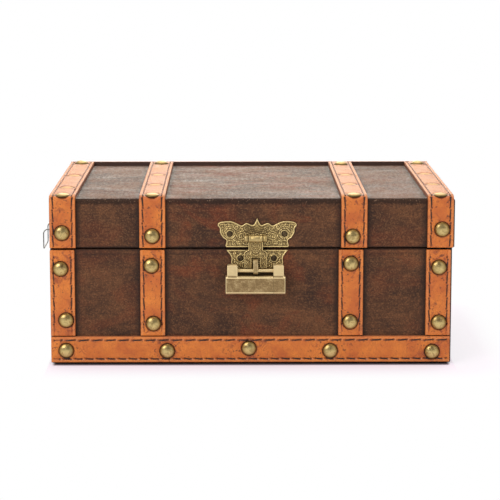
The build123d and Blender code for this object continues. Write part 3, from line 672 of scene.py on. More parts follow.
def over_lid(x):
    """Up the lid's front, round the bend and back along its top, measured on the strap's outside."""
    rise = lid_top - cover_radius - lid_low
    outer = cover_radius + strap_thick
    bend = outer * math.pi / 2

    def at(run):
        run = np.asarray(run, float)
        turn = np.clip((run - rise) / outer, 0, math.pi / 2)
        out = np.stack([np.zeros_like(turn), -np.cos(turn), np.sin(turn)], 1)
        along = np.stack([np.zeros_like(turn), np.sin(turn), np.cos(turn)], 1)
        middle = np.array([x, front + cover_radius, lid_top - cover_radius])
        points = middle + cover_radius * out
        points[:, 2] += np.minimum(run - rise, 0)
        points[:, 1] += np.maximum(run - rise - bend, 0)
        return points, out, along
    return Route(rise + bend + rear - front - cover_radius, np.array([1.0, 0, 0]), at)


# Rows of points close together at a strap's ends and edges, then even ones. Below them are its
# rounding, pressed line, relief and dents, its underside's share of the width, and the run over
# which the edge's colour fades at an end. Points with no nail near count as far off.
end_places = [0, 0.12, 0.35, 0.7, 1.1, 1.6, 2.2]
edge_places = [0, 0.1, 0.28, 0.55, 0.9, 1.4, 1.9, 2.25, 2.6, 2.95, 3.4, 4.1]
row_step = 1.25
column_step = 1.3
edge_round = 0.75
stitch_line_width = 0.42
swell = 0.22
ripple = 0.035
nail_dent = 0.60
underside_share = 0.97
end_fade = 0.3
far_off = 99


def spread(length, edges, step):
    """Places along a length: the given ones in from each end, and even ones between."""
    first, last = edges[-1], length - edges[-1]
    count = max(2, int(round((last - first) / step)))
    between = np.linspace(first, last, count + 1)[1:-1]
    return np.concatenate([edges, between, length - np.array(edges[::-1])])


def strap_height(edge, end, across, run, nails, seed):
    """The height of a strap's outside above the cover."""
    near = np.minimum(np.minimum(edge, end), edge_round)
    rounded = np.sqrt(np.maximum(edge_round**2 - (edge_round - near) ** 2, 0))
    inland = np.clip(near / edge_round, 0, 1)
    height = strap_thick - edge_round + rounded
    height -= stitch_line_depth * np.exp(-(((edge - stitch_inset) / stitch_line_width) ** 2))
    inner = np.clip((edge - stitch_inset) / 5.0, 0, 1)
    height += swell * (1 - (1 - inner) ** 2)
    chance = np.random.default_rng(seed)
    for _ in range(6):
        a, b, c = chance.uniform(0.03, 0.16), chance.uniform(0.05, 0.35), chance.uniform(0, 6.28)
        height += ripple * np.sin(a * run * 2 + b * across + c) * inland
    dent = np.where(nails < nail_radius, 1.0, np.exp(-(((nails - nail_radius) / 1.3) ** 2)))
    pucker = np.exp(-(((nails - nail_radius - 1.7) / 0.8) ** 2)) * inland
    return height - nail_dent * dent + swell * pucker


def nail_gap(points, seats):
    """The distance from each point to the nearest nail's seat."""
    return np.sqrt(((points[:, None] - seats[None]) ** 2).sum(2)).min(1)


def strap(name, node, body, route, width, seats, finish, seed, pitches, unsewn, corner=0.0):
    """One leather strap: rounded edges, pressed stitch lines, and dents under its nails."""
    runs = spread(route.length, end_places, row_step)
    offsets = spread(width, edge_places, column_step)
    centre, out, _ = route.at(runs)
    inset = np.zeros(len(runs))
    if corner:
        left = np.minimum(route.length - runs, corner)
        inset = corner - np.sqrt(np.maximum(corner**2 - (corner - left) ** 2, 0))
    half = width / 2 - inset
    across = (offsets / width * 2 - 1)[None, :] * half[:, None]
    edge = half[:, None] - np.abs(across)
    end = np.minimum(runs, route.length - runs)[:, None]
    run = np.repeat(runs[:, None], len(offsets), 1)
    ground = centre[:, None] + across[..., None] * route.across
    flat = ground + out[:, None] * strap_thick
    gap = nail_gap(flat.reshape(-1, 3), seats).reshape(across.shape)
    top = ground + out[:, None] * strap_height(edge, end, across, run, gap, seed)[..., None]
    foot = ground[:, [0, -1]]
    under = centre[:, None] + across[:, [-1, 0], None] * underside_share * route.across
    ring = np.concatenate([foot[:, :1], top, foot[:, 1:], under], 1)
    rows, columns = ring.shape[:2]
    faces, index = ring_faces(rows, columns)
    mesh = new_mesh(name, ring.reshape(-1, 3), faces + [index[0][::-1].tolist(), index[-1].tolist()])

    def all_round(values, foot_value, under_value):
        sides = np.full((rows, 1), float(foot_value))
        back = np.full((rows, 2), float(under_value))
        return np.concatenate([sides, values, sides, back], 1)

    near_end = np.minimum(end, end_fade) / end_fade
    phase = np.where(across < 0, run / pitches[0], run / pitches[1])
    carry(mesh, "edge_distance", all_round(edge * near_end, 0, 0) * mm)
    carry(mesh, "stitch_phase", all_round(phase, 0.5, 0.5))
    carry(mesh, "sewn", all_round((run > unsewn[0]) & (run < route.length - unsewn[1]), 0, 0))
    carry(mesh, "nail_distance", all_round(gap, far_off, far_off) * mm)
    carry(mesh, "flesh_side", all_round(edge * 0, 0, 1))
    smooth(mesh, 50)
    return set_piece(name, mesh, body, "strap_leather", finish, node)


def stitch_places(route, width, seats, pitches, unsewn):
    """Middles of a strap's stitches with the way out and the way along."""
    places = []
    for side, pitch in zip((-1, 1), pitches):
        margin = pitch * stitch_margin
        runs = (np.arange(int(route.length / pitch)) + 0.5) * pitch
        runs = runs[(runs > unsewn[0] + margin) & (runs < route.length - unsewn[1] - margin)]
        centre, out, along = route.at(runs)
        depth = out * (strap_thick - stitch_line_depth)
        where = centre + side * (width / 2 - stitch_inset) * route.across + depth
        clear = nail_gap(where, seats) > nail_radius - stitch_under_nail
        along = (along + side * stitch_slant * route.across) * pitch * mm
        places += list(zip(where[clear], out[clear], along[clear]))
    return places


# What repeats: node trees

def new_tree(name, *sizes):
    """An empty geometry tree with named inputs, and the signals of those inputs."""
    tree = bpy.data.node_groups.new(name, "GeometryNodeTree")
    kinds = {"Places": "Geometry", **{size: "Float" for size in sizes}, "Seed": "Int", "Finish": "Material"}
    for label, kind in kinds.items():
        tree.interface.new_socket(label, in_out="INPUT", socket_type=f"NodeSocket{kind}")
    tree.interface.new_socket("Pieces", in_out="OUTPUT", socket_type="NodeSocketGeometry")
    board = Board(tree)
    given = board.add("NodeGroupInput")
    return board, {label: given.out(label) for label in kinds}


def kept_vector(board, name):
    return board.add("GeometryNodeInputNamedAttribute", {"Name": name}, data_type="FLOAT_VECTOR")


def keep_number(board, geometry, name, value):
    values = {"Geometry": geometry, "Name": name, "Value": value}
    return board.add("GeometryNodeStoreNamedAttribute", values, data_type="FLOAT", domain="POINT")


def facing(board, given):
    """Turns a piece to its place's way out and way along, with a little chance in its roll."""
    align = "FunctionNodeAlignRotationToVector"
    rotation = board.add(align, {"Vector": kept_vector(board, "way_out")}, axis="Z")
    values = {"Rotation": rotation, "Vector": kept_vector(board, "way_along")}
    rotation = board.add(align, values, axis="X", pivot_axis="Z")
    sway = given["Sway"]
    values = {2: sway * -math.pi, 3: sway * math.pi, "Seed": given["Seed"]}
    chance = board.add("FunctionNodeRandomValue", values, 1, data_type="FLOAT")
    roll = board.add("FunctionNodeAxisAngleToRotation", {"Axis": (0, 0, 1), "Angle": chance})
    values = {"Rotation": rotation, "Rotate By": roll}
    return board.add("FunctionNodeRotateRotation", values, rotation_space="LOCAL")


def finish_tree(board, given, piece, dent=None, scale=(1, 1, 1)):
    """Sets the piece on every place, makes it real and gives it its finish."""
    values = {"Points": given["Places"], "Instance": piece, "Rotation": facing(board, given), "Scale": scale}
    pieces = board.add("GeometryNodeInstanceOnPoints", values)
    pieces = board.add("GeometryNodeRealizeInstances", {"Geometry": pieces})
    if dent is not None:
        values = {"Vector": board.add("GeometryNodeInputPosition"), "Scale": 260.0, "Detail": 1.0}
        push = (board.add("ShaderNodeTexNoise", values) - 0.5) * dent
        values = {0: board.add("GeometryNodeInputNormal"), "Scale": push}
        push = board.add("ShaderNodeVectorMath", values, operation="SCALE")
        pieces = board.add("GeometryNodeSetPosition", {"Geometry": pieces, "Offset": push})
    values = {"Geometry": pieces, "Material": given["Finish"]}
    board.add("NodeGroupOutput", {"Pieces": board.add("GeometryNodeSetMaterial", values)})
    return board.tree


def domed(board, given, segments, rings):
    """A round head: a half ball pressed to a height, closed by a shallow underside."""
    values = {"Segments": segments, "Rings": rings, "Radius": 1.0}
    ball = board.add("GeometryNodeMeshUVSphere", values)
    x, y, z = board.split(board.add("GeometryNodeInputPosition"))
    kept = keep_number(board, ball, "dome", z.most(0.0))
    radius = given["Head Radius"]
    pressed = z.most(0.0) * given["Head Rise"] + z.least(0.0) * given["Underside"]
    place = board.vector(X=x * radius, Y=y * radius, Z=pressed)
    return board.add("GeometryNodeSetPosition", {"Geometry": kept, "Position": place})


def nail_tree():
    board, given = new_tree("Dome_nails", "Head Radius", "Head Rise", "Underside", "Dent", "Sway")
    return finish_tree(board, given, domed(board, given, 28, 18), given["Dent"])


def screw_tree():
    """Slotted round heads. They are made in millimetres, where the slot's cut is exact."""
    sizes = ["Head Radius", "Head Rise", "Underside", "Slot Width", "Slot Depth", "Sway"]
    board, given = new_tree("Round_screws", *sizes)
    head = domed(board, given, 24, 16)
    size = board.vector(X=given["Head Radius"] * 3, Y=given["Slot Width"], Z=given["Slot Depth"] * 2)
    bar = board.add("GeometryNodeMeshCube", {"Size": size})
    values = {"Geometry": bar, "Translation": board.vector(Z=given["Head Rise"])}
    bar = board.add("GeometryNodeTransform", values)
    cut = {"operation": "DIFFERENCE", "solver": "EXACT"}
    head = board.add("GeometryNodeMeshBoolean", {"Mesh 1": head, "Mesh 2": bar}, **cut)
    return finish_tree(board, given, head, scale=(mm, mm, mm))


def stitch_tree():
    """Threads one long each, stretched to their place's way along, and thinner on the lid's top."""
    sizes = ["Share of Pitch", "Thread Radius", "Lift", "Sink", "Sway"]
    board, given = new_tree("Strap_stitches", *sizes)
    half = given["Share of Pitch"] * 0.5
    line = board.add("GeometryNodeCurveQuadraticBezier", {
        "Resolution": 6, "Start": board.vector(X=-half, Z=-given["Sink"]),
        "Middle": board.vector(Z=given["Lift"]), "End": board.vector(X=half, Z=-given["Sink"]),
    })
    line = keep_number(board, line, "thread_along", board.add("GeometryNodeSplineParameter"))
    values = {"Resolution": 6, "Radius": given["Thread Radius"]}
    round_thread = board.add("GeometryNodeCurvePrimitiveCircle", values)
    values = {"Curve": line, "Profile Curve": round_thread, "Fill Caps": True}
    threads = board.add("GeometryNodeCurveToMesh", values)
    along = kept_vector(board, "way_along")
    length = board.add("ShaderNodeVectorMath", {0: along}, 1, operation="LENGTH")
    _, _, out_z = board.split(kept_vector(board, "way_out"))
    thin = 1 - 0.38 * out_z
    return finish_tree(board, given, threads, scale=board.vector(X=length, Y=thin, Z=thin))


def set_along(name, tree, places, sizes, finish):
    """Runs a tree on places, each a point, a way out and a way along, and gives one plain mesh."""
    mesh = bpy.data.meshes.new(name + "_places")
    mesh.from_pydata([tuple(p[0] * mm) for p in places], [], [])
    ways = {"way_out": 1, "way_along": 2}
    for key, column in ways.items():
        carry(mesh, key, [p[column] for p in places], "FLOAT_VECTOR", "vector")
    holder = linked(name + "_places", mesh)
    modifier = holder.modifiers.new("Set", "NODES")
    modifier.node_group = tree
    values = {**sizes, "Finish": finish}
    for socket in tree.interface.items_tree:
        if socket.in_out == "INPUT" and socket.name in values:
            modifier[socket.identifier] = values[socket.name]
    made = evaluated(holder)
    made.name = name
    for key in ways:
        if key in made.attributes:
            made.attributes.remove(made.attributes[key])
    return made


# Seats read from the CAD

# A head whose middle is this near the lid's top, or a handle's head this near a side, faces that way
near_top, near_side = 4, 8
ways_out = {"front": (0, -1, 0), "rear": (0, 1, 0), "top": (0, 0, 1), "left": (-1, 0, 0), "right": (1, 0, 0)}


def islands(node):
    """The low and high corners of each separate solid of a CAD node."""
    found = []
    with opened(cad[node].data, keep=False) as work:
        join_points(work)
        left = set(work.verts)
        while left:
            stack, group = [left.pop()], []
            while stack:
                vertex = stack.pop()
                group.append(vertex.co / mm)
                for edge in vertex.link_edges:
                    other = edge.other_vert(vertex)
                    if other in left:
                        left.remove(other)
                        stack.append(other)
            corners = np.array(group)
            found.append((corners.min(0), corners.max(0)))
    return sorted(found, key=lambda c: tuple(np.round(c[0], 2)))


def seats_on(node, head_rise):
    """Seats of the nails or screws of a node: the point under each head and the way out of it."""
    seats = []
    for low, high in islands(node):
        middle = (low + high) / 2
        if middle[2] > lid_top - near_top:
            side = "top"
        elif abs(middle[0]) > -left_side - near_side and "handle" in node:
            side = "left" if middle[0] < 0 else "right"
        else:
            side = "front" if middle[1] < 0 else "rear"
        out = np.array(ways_out[side], float)
        tip = np.where(out > 0, high, low)
        seats.append((np.where(out != 0, tip - out * head_rise, middle), out))
    return seats


nail_seats = {node: seats_on(node, nail_dome) for node in ("lid_nails", "base_nails")}


# Stamped hardware

def curved_outline(half, keen, steps=7):
    """A closed outline through the points of its right half, curved except at the sharp ones."""
    right = np.array(half, float)
    mirror = right[right[:, 0] > 0][::-1] * (-1, 1)
    points = np.concatenate([right, mirror])
    count = len(points)
    keen = set(keen) | {count - i for i in keen}
    line = []
    for i in range(count):
        p0, p1, p2, p3 = (points[(i + k) % count] for k in (-1, 0, 1, 2))
        start = (p2 - p1) * 0.6 if i in keen else (p2 - p0) / 2
        end = (p2 - p1) * 0.6 if (i + 1) % count in keen else (p3 - p1) / 2
        reach = max(1, int(steps * min(1, np.linalg.norm(p2 - p1) / 3)))
        for t in np.arange(reach) / reach:
            line.append(
                (2 * t**3 - 3 * t**2 + 1) * p1 + (t**3 - 2 * t**2 + t) * start
                + (-2 * t**3 + 3 * t**2) * p2 + (t**3 - t**2) * end
            )
    return np.array(line)


def inside(points, outline):
    """Which points lie inside a closed outline."""
    result = np.zeros(len(points), bool)
    for (x0, z0), (x1, z1) in zip(outline, np.roll(outline, -1, 0)):
        crosses = (z0 > points[:, 1]) != (z1 > points[:, 1])
        if z1 != z0:
            where = x0 + (points[:, 1] - z0) * (x1 - x0) / (z1 - z0)
            result ^= crosses & (points[:, 0] < where)
    return result


rim_height = 0.42
ridge_height = 0.40


def stamped(outline, swirls, bosses, quiet, rim_width=0.95, pitch=1.48, step=0.24):
    """The face of a stamped plate: flat points, the height of its ridges, and triangles.

    The ridges follow the outline, and curl round the middle of each swirl. They are faint in
    the quiet places, and a boss is a plain disc with a lip.
    """
    def to_outline(points):
        return gap_to(points, zip(outline, np.roll(outline, -1, 0)))

    low, high = outline.min(0), outline.max(0)
    xs = np.arange(low[0], high[0], step)
    zs = np.arange(low[1], high[1], step * 0.866)
    grid = np.stack(np.meshgrid(xs, zs), 2)
    grid[1::2, :, 0] += step / 2
    grid = grid.reshape(-1, 2)
    grid = grid[inside(grid, outline)]
    grid = grid[to_outline(grid) > step * 0.6]
    count = len(outline)
    ring = [(i, (i + 1) % count) for i in range(count)]
    made = delaunay_2d_cdt([Vector(p) for p in np.concatenate([outline, grid])], ring, [], 1, 1e-5)
    flat = np.array([v[:] for v in made[0]])
    edge = to_outline(flat)
    x, z = abs(flat[:, 0]), flat[:, 1]
    bent_x = x + 0.26 * np.sin(2.3 * z + 1.1 * x)
    bent_z = z + 0.26 * np.sin(2.1 * x - 1.3 * z + 2)
    phase = (edge - rim_width) / pitch + 0.16 * np.sin(1.7 * x + 2.9 * z)
    for swirl_x, swirl_z, radius, hand in swirls:
        off_x, off_z = bent_x - swirl_x, bent_z - swirl_z
        away = np.hypot(off_x, off_z)
        curl = away / pitch + hand * np.arctan2(off_z, off_x) / (2 * math.pi)
        phase = np.where(away < radius, curl, phase)
    ridge = 0.5 + 0.5 * np.cos(2 * math.pi * phase)
    ridge *= np.clip(0.72 + 0.55 * np.sin(3.9 * bent_x + 1) * np.sin(3.3 * bent_z), 0.25, 1)
    for middle_x, middle_z, reach_x, reach_z in quiet:
        calm = np.exp(-(((flat[:, 0] - middle_x) / reach_x) ** 4) - ((z - middle_z) / reach_z) ** 4)
        ridge *= 1 - 0.45 * calm
    height = ridge_height * ridge * np.clip((edge - rim_width) / 0.35, 0, 1)
    rim = np.sin(np.clip(edge / rim_width, 0, 1) * math.pi) * (edge < rim_width)
    rim = np.maximum(rim, (edge < rim_width / 2) * np.clip(edge / 0.3, 0.35, 1))
    height = np.maximum(height, rim_height * rim)
    for boss_x, boss_z, radius in bosses:
        gap = np.hypot(x - boss_x, z - boss_z)
        lip = rim_height * np.clip(1 - abs(gap - radius + 0.45) / 0.45, 0, 1)
        height = np.where(gap < radius, lip, height)
    return flat, height, [list(face) for face in made[2]]


def plate_mesh(name, stamping, middle, back, field):
    """A closed plate: its stamped face, walls and a flat back."""
    flat, height, faces = stamping
    count = len(flat)
    x, z = middle[0] + flat[:, 0], middle[1] + flat[:, 1]
    face = np.stack([x, back - field - height, z], 1)
    rear_face = np.stack([x, np.full(count, back), z], 1)
    sides = [pair for triangle in faces for pair in zip(triangle, triangle[1:] + triangle[:1])]
    every = set(sides)
    border = [(a, b) for a, b in sides if (b, a) not in every]
    used_points = sorted({a for pair in border for a in pair})
    back_index = {p: count + i for i, p in enumerate(used_points)}
    walls = [(b, a, back_index[a], back_index[b]) for a, b in border]
    follow = dict(border)
    loop = [border[0][0]]
    while follow[loop[-1]] != loop[0]:
        loop.append(follow[loop[-1]])
    cap = [back_index[p] for p in reversed(loop)]
    mesh = new_mesh(name, np.concatenate([face, rear_face[used_points]]), faces + walls + [cap])
    carry(mesh, "relief", np.concatenate([height / rim_height, np.zeros(len(used_points))]))
    smooth(mesh, 60)
    return mesh


def turned(name, profile, centre, segments=36):
    """A piece turned about a level axis that runs from left to right: places along it and radii."""
    angles = np.arange(segments) / segments * 2 * math.pi
    points = [
        (centre[0] + x, centre[1] + radius * math.cos(a), centre[2] + radius * math.sin(a))
        for x, radius in profile
        for a in angles
    ]
    faces, index = ring_faces(len(profile), segments)
    mesh = new_mesh(name, points, faces + [index[0].tolist(), index[-1][::-1].tolist()])
    bright = [max(0.0, min(0.55, (radius - 2.2) / 0.5)) for _, radius in profile]
    carry(mesh, "relief", [value for value in bright for _ in angles])
    smooth(mesh, 50)
    return mesh


def ahead_of(node, y, root):
    """What a CAD node has in front of a plane, its cut end sunk back to its root and its edges eased."""
    mesh = merged_copy(node, flat=False)
    with opened(mesh) as work:
        every = work.verts[:] + work.edges[:] + work.faces[:]
        plane = {"plane_co": (0, y * mm, 0), "plane_no": (0, 1, 0)}
        cut = bmesh.ops.bisect_plane(work, geom=every, clear_outer=True, **plane)
        rim = [e for e in cut["geom_cut"] if isinstance(e, bmesh.types.BMEdge)]
        for vertex in {v for e in rim for v in e.verts}:
            vertex.co.y = root * mm
        bmesh.ops.holes_fill(work, edges=rim)
        bmesh.ops.dissolve_limit(work, angle_limit=0.01, verts=work.verts, edges=work.edges)
    keen = keen_edges(mesh)
    mesh = eased(mesh, 0.3, 40)
    finer(mesh, 0.7 * mm)
    carry(mesh, "relief", 0.12 + 0.5 * rubbed_near(mesh, keen, 0.6 * mm))
    smooth(mesh, 40)
    return mesh


hasp_middle = (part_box("hasp_plate")[0].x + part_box("hasp_plate")[1].x) / 2 / mm
flap_middle = (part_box("hasp_flap")[0].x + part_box("hasp_flap")[1].x) / 2 / mm

# Right halves of the outlines: across, then up
butterfly = [
    (0.0, 21.2), (1.6, 17.7), (3.3, 16.0), (7.7, 17.5), (11.15, 15.7), (15.1, 17.5), (19.0, 18.8),
    (26.0, 18.4), (28.45, 16.2), (26.9, 13.7), (26.7, 10.6), (24.7, 7.1), (22.1, 4.9), (22.8, 1.0),
    (22.1, 0.0),
]
catch_outline = [
    (22.2, 0.0), (18.65, -5.1), (18.65, -9.7), (16.9, -14.0), (18.65, -17.8), (16.0, -22.7),
    (9.3, -23.8), (4.4, -25.6), (0.0, -27.0),
]
flap_outline = [
    (0.0, 0.0), (5.2, 0.0), (5.2, -8.5), (6.6, -8.9), (8.3, -10.6), (8.4, -13.0), (7.9, -16.4), (8.4, -21.2),
    (5.6, -21.2), (3.05, -21.2), (3.05, -13.9), (0.0, -13.9),
]
# Middles of the swirls, their reach and their hand
butterfly_swirls = [
    (19.6, 9.6, 6.0, 1), (11.6, 8.0, 4.0, -1), (25.2, 15.0, 2.6, -1), (14.4, 14.2, 2.8, 1),
    (8.2, 3.6, 3.0, 1), (16.4, 2.6, 2.5, -1), (7.6, 13.4, 2.4, -1),
]
catch_swirls = [(12.0, -6.1, 4.6, -1), (6.2, -10.4, 3.0, 1), (14.6, -14.6, 3.4, 1), (8.4, -18.6, 3.6, -1)]
flap_swirls = [(0.0, -5.2, 2.6, 1), (5.6, -13.2, 2.6, -1), (5.7, -18.4, 2.3, 1)]
# Middles and radii of the screws' bosses, and middles and reaches of the quiet places
butterfly_boss, catch_boss = (19.6, 9.6, 3.0), (12.0, -6.1, 3.0)
behind_knuckle, behind_lock = (flap_middle - hasp_middle, 13.4, 7.0, 2.8), (0, -20, 17, 7)
# Places along the pin and radii, of the right ear's ring and the left half of the knuckle
ear_ring = [
    (5.9, 1.9), (5.95, 2.3), (6.15, 2.6), (6.75, 2.7), (6.95, 2.4), (7.1, 2.4), (7.3, 2.62), (7.9, 2.5),
    (8.25, 2.2), (8.3, 1.4),
]
half_knuckle = [
    (-5.1, 1.7), (-5.05, 2.15), (-4.85, 2.5), (-4.6, 2.6), (-3.6, 2.6), (-3.45, 2.5), (-3.25, 2.5),
    (-3.1, 2.6),
]
# How far the stamped faces' grounds stand off their backs, the flap's gap to the plate,
# and where the ears are cut off in front of the plate and rooted in it
plate_field = 0.82
flap_field = 1.12
flap_gap = 0.8
ear_cut, ear_root = 0.05, 0.7


def hasp_pieces(finish):
    """The butterfly plate with its ears, the catch plate, and the flap with its knuckle."""
    def brass_piece(name, mesh, body, node):
        set_piece(name, mesh, body, "antique_brass", finish, node)

    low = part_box("hasp_plate")[0].z / mm
    face = stamped(curved_outline(butterfly, {0, 14}), butterfly_swirls, [butterfly_boss], [behind_knuckle])
    plate = plate_mesh("Butterfly_face", face, (hasp_middle, low), front, plate_field)
    ears = ahead_of("hasp_plate", plate_front - ear_cut, front - ear_root)
    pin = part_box("hasp_pin")
    middle = (flap_middle, (pin[0].y + pin[1].y) / 2 / mm, (pin[0].z + pin[1].z) / 2 / mm)
    rings = [turned("Ear_ring", [(side * x, r) for x, r in ear_ring], middle) for side in (-1, 1)]
    name = "Butterfly_plate"
    brass_piece(name, joined(name, [plate, ears, *rings]), "lid", "hasp_plate")

    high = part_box("catch_plate")[1].z / mm
    face = stamped(curved_outline(catch_outline[::-1], {8}), catch_swirls, [catch_boss], [behind_lock])
    name = "Catch_plate"
    mesh = plate_mesh(name, face, (hasp_middle, high), front, plate_field)
    brass_piece(name, mesh, "base", "catch_plate")

    outline = curved_outline(flap_outline, {1, 2, 7, 9, 10})
    face = stamped(outline, flap_swirls, [], [], 0.7, 0.98, 0.2)
    low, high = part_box("hasp_flap")
    pin_z = high.z / mm - knuckle_radius
    flap = plate_mesh("Flap_face", face, (flap_middle, pin_z), plate_front - flap_gap, flap_field)
    profile = half_knuckle + [(0, knuckle_radius + 0.02)] + [(-x, r) for x, r in reversed(half_knuckle)]
    knuckle = turned("Flap_knuckle", profile, (flap_middle, low.y / mm + knuckle_radius, pin_z))
    name = "Hasp_flap_face"
    brass_piece(name, joined(name, [flap, knuckle]), "hasp_flap", "hasp_flap")


# The trunk

strap_names = ["left_end", "left_inner", "right_inner", "right_end"]
upright_pitch = 9.4
band_pitch = 8.8
# How much of its pitch a stitch covers, and its thread's radius
stitch_kinds = {"upright": (0.80, 0.54), "band": (0.58, 0.70)}
band_drop = 0.45


def dress_covers():
    for part, everywhere in (("lid", True), ("base", False)):
        bands = []
        for name in strap_names:
            low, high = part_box(f"{part}_strap_{name}")
            bands.append(((low.x + high.x) / 2, (high.x - low.x) / 2))
        finish = leatherette(f"Leatherette_{part}", f"{part}_cover", bands, everywhere)
        mesh = merged_copy(f"{part}_cover")
        smooth(mesh)
        set_piece(f"{part.title()}_leatherette", mesh, part, "leatherette", finish, f"{part}_cover")


def dress_straps(waxed):
    """The straps and bands, then their stitches: longer ones on the upright straps."""
    finishes = {
        "upright": strap_leather("Strap_leather", upright_pitch, stitch_kinds["upright"][0], (96, 50, 30)),
        # The bands' paler edge colour is painted sheen.
        "band": strap_leather("Band_leather", band_pitch, stitch_kinds["band"][0], (176, 108, 72)),
    }
    stitches = {}

    def sewn_on(node, body, kind, route, width, seats, seed, pitches, unsewn, corner=0.0):
        seats = np.array(seats)
        name = node.capitalize()
        strap(name, node, body, route, width, seats, finishes[kind], seed, pitches, unsewn, corner)
        stitches.setdefault((body, kind), []).extend(stitch_places(route, width, seats, pitches, unsewn))

    uprights = (("lid", 11, (1.0, 0.0), 0.0), ("base", 21, (3.0, 4.6), 0.8))
    for number, name in enumerate(strap_names):
        for body, seed, unsewn, corner in uprights:
            node = f"{body}_strap_{name}"
            low, high = (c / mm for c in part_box(node))
            middle, width = (low.x + high.x) / 2, high.x - low.x
            seats = [s for s, _ in nail_seats[f"{body}_nails"] if abs(s[0] - middle) < width]
            route = over_lid(middle)
            if body == "base":
                start = (middle, front, low.z)
                route = straight(start, (0, 0, 1), (0, -1, 0), (1, 0, 0), high.z - low.z)
            pitches = (upright_pitch, upright_pitch)
            sewn_on(node, body, "upright", route, width, seats, seed + number, pitches, unsewn, corner)
    bands = (
        ("bottom_band", "base", front, -1, (7.9, 9.6), band_drop),
        ("lid_rear_band", "lid", rear, 1, (band_pitch, band_pitch), 0),
    )
    for node, body, y, out, pitches, drop in bands:
        low, high = (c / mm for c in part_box(node))
        start = (low.x, y, (low.z + high.z) / 2 - drop)
        route = straight(start, (1, 0, 0), (0, out, 0), (0, 0, 1), high.x - low.x)
        seats = [s for s, way in nail_seats[f"{body}_nails"] if way[1] == out]
        sewn_on(node, body, "band", route, high.z - low.z, seats, 31, pitches, (2.0, 2.0))
    tree = stitch_tree()
    for (body, kind), places in stitches.items():
        share, radius = stitch_kinds[kind]
        sizes = {
            "Share of Pitch": share, "Thread Radius": radius * mm, "Lift": 0.70 * mm, "Sink": 0.55 * mm,
            "Sway": 0.035, "Seed": 5,
        }
        name = f"{body.title()}_{kind}_stitches"
        mesh = set_along(name, tree, places, sizes, waxed)
        mesh.shade_smooth()
        set_piece(name, mesh, body, "strap_leather", waxed)


# How far a nail's head rises and how deep it is driven, and the reach of the top's outer rows
nail_kinds = {"proud": (nail_dome + 0.4, 0.35), "laid": (2.0, 1.15), "flush": (2.0, 1.45)}
front_row, rear_row = 22, 32


def nail_kind(seat, out):
    """Nails along the lid's top are driven deeper, but not at its rear."""
    if not out[2] or seat[1] > rear - rear_row:
        return "proud"
    return "laid" if seat[1] < front + front_row else "flush"


def dress_nails(finish):
    tree = nail_tree()
    for body in ("lid", "base"):
        node, name = f"{body}_nails", f"{body.title()}_dome_nails"
        kinds = []
        for kind, (rise, sunk) in nail_kinds.items():
            places = [
                (seat - out * sunk, out, np.roll(out, 1))
                for seat, out in nail_seats[node]
                if nail_kind(seat, out) == kind
            ]
            sizes = {
                "Head Radius": nail_radius * mm, "Head Rise": rise * mm, "Underside": 0.25 * mm,
                "Dent": 0.22 * mm, "Sway": 1.0, "Seed": 3,
            }
            if places:
                kinds.append(set_along(name, tree, places, sizes, finish))
        mesh = joined(name, kinds)
        mesh.shade_smooth()
        set_piece(name, mesh, body, "antique_brass", finish, node)


# How far a screw's head rises
screw_dome = 1.0


def dress_screws(finish):
    tree = screw_tree()
    groups = {
        "hasp_screws": "lid", "hinge_lid_screws": "lid", "catch_screws": "base", "hinge_base_screws": "base",
        "left_handle_screws": "base", "right_handle_screws": "base",
    }
    for node, body in groups.items():
        places = [(seat, out, np.roll(out, 1)) for seat, out in seats_on(node, screw_dome)]
        sizes = {
            "Head Radius": 1.8, "Head Rise": 1.05, "Underside": 0.4, "Slot Width": 0.5, "Slot Depth": 0.5,
            "Sway": 1.0, "Seed": len(node),
        }
        mesh = set_along(node.capitalize(), tree, places, sizes, finish)
        smooth(mesh, 40)
        set_piece(node.capitalize(), mesh, body, "antique_brass", finish, node)


# The photographed wire looks finer than its stock by this much on the radius
wire_thinning = 0.2


def dress_hardware():
    hasp_pieces(embossed_brass())
    lock_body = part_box("padlock_body")
    # The lock above this height is painted with a highlight.
    crown = lock_body[1].z - ear_height * mm
    lock = lock_brass("Lock_brass", (250, 224, 170), (156, 129, 88), (108, 82, 50), 0.60, crown)
    loop = lock_brass("Staple_brass", (226, 204, 156), (166, 140, 96), (104, 80, 50), 0.55)
    hinge = lock_brass("Hinge_brass", (206, 180, 124), (146, 122, 74), (78, 62, 38), 0.60)
    hidden = dull_brass("Pin_brass", (196, 172, 118), (140, 120, 72), (70, 58, 36))
    dark = dull_brass("Screw_brass", (150, 128, 88), (92, 76, 54), (44, 35, 28))
    eased_copy("Staple", "staple", "base", loop, 0.9, 0.6)
    for node, body in {"padlock_body": "padlock", "padlock_shackle": "padlock_shackle"}.items():
        eased_copy(node.capitalize(), node, body, lock, 0.3, joint_x=lock_body[1].x)
    leaves = {f"{side}_hinge_{part}_leaf": part for side in ("left", "right") for part in ("lid", "base")}
    for node, body in (leaves | {"left_handle_plate": "base", "right_handle_plate": "base"}).items():
        eased_copy(node.capitalize(), node, body, hinge, 0.2)
    for node in ("left_hinge_pin", "right_hinge_pin", "hasp_pin", "padlock_springs"):
        repaint(node, hidden)
    dress_screws(dark)
    steel = wire_steel()
    for side in ("left", "right"):
        node = f"{side}_bail"
        mesh = merged_copy(node, flat=False)
        thinned(mesh, wire_thinning)
        mesh.shade_smooth()
        set_piece(f"{side.title()}_bail_wire", mesh, node, "wire", steel, node)


def thinned(mesh, depth):
    """Draws every point of a mesh in from its surface."""
    inward = [(v.co - v.normal * depth * mm)[:] for v in mesh.vertices]
    mesh.vertices.foreach_set("co", np.array(inward, np.float32).ravel())


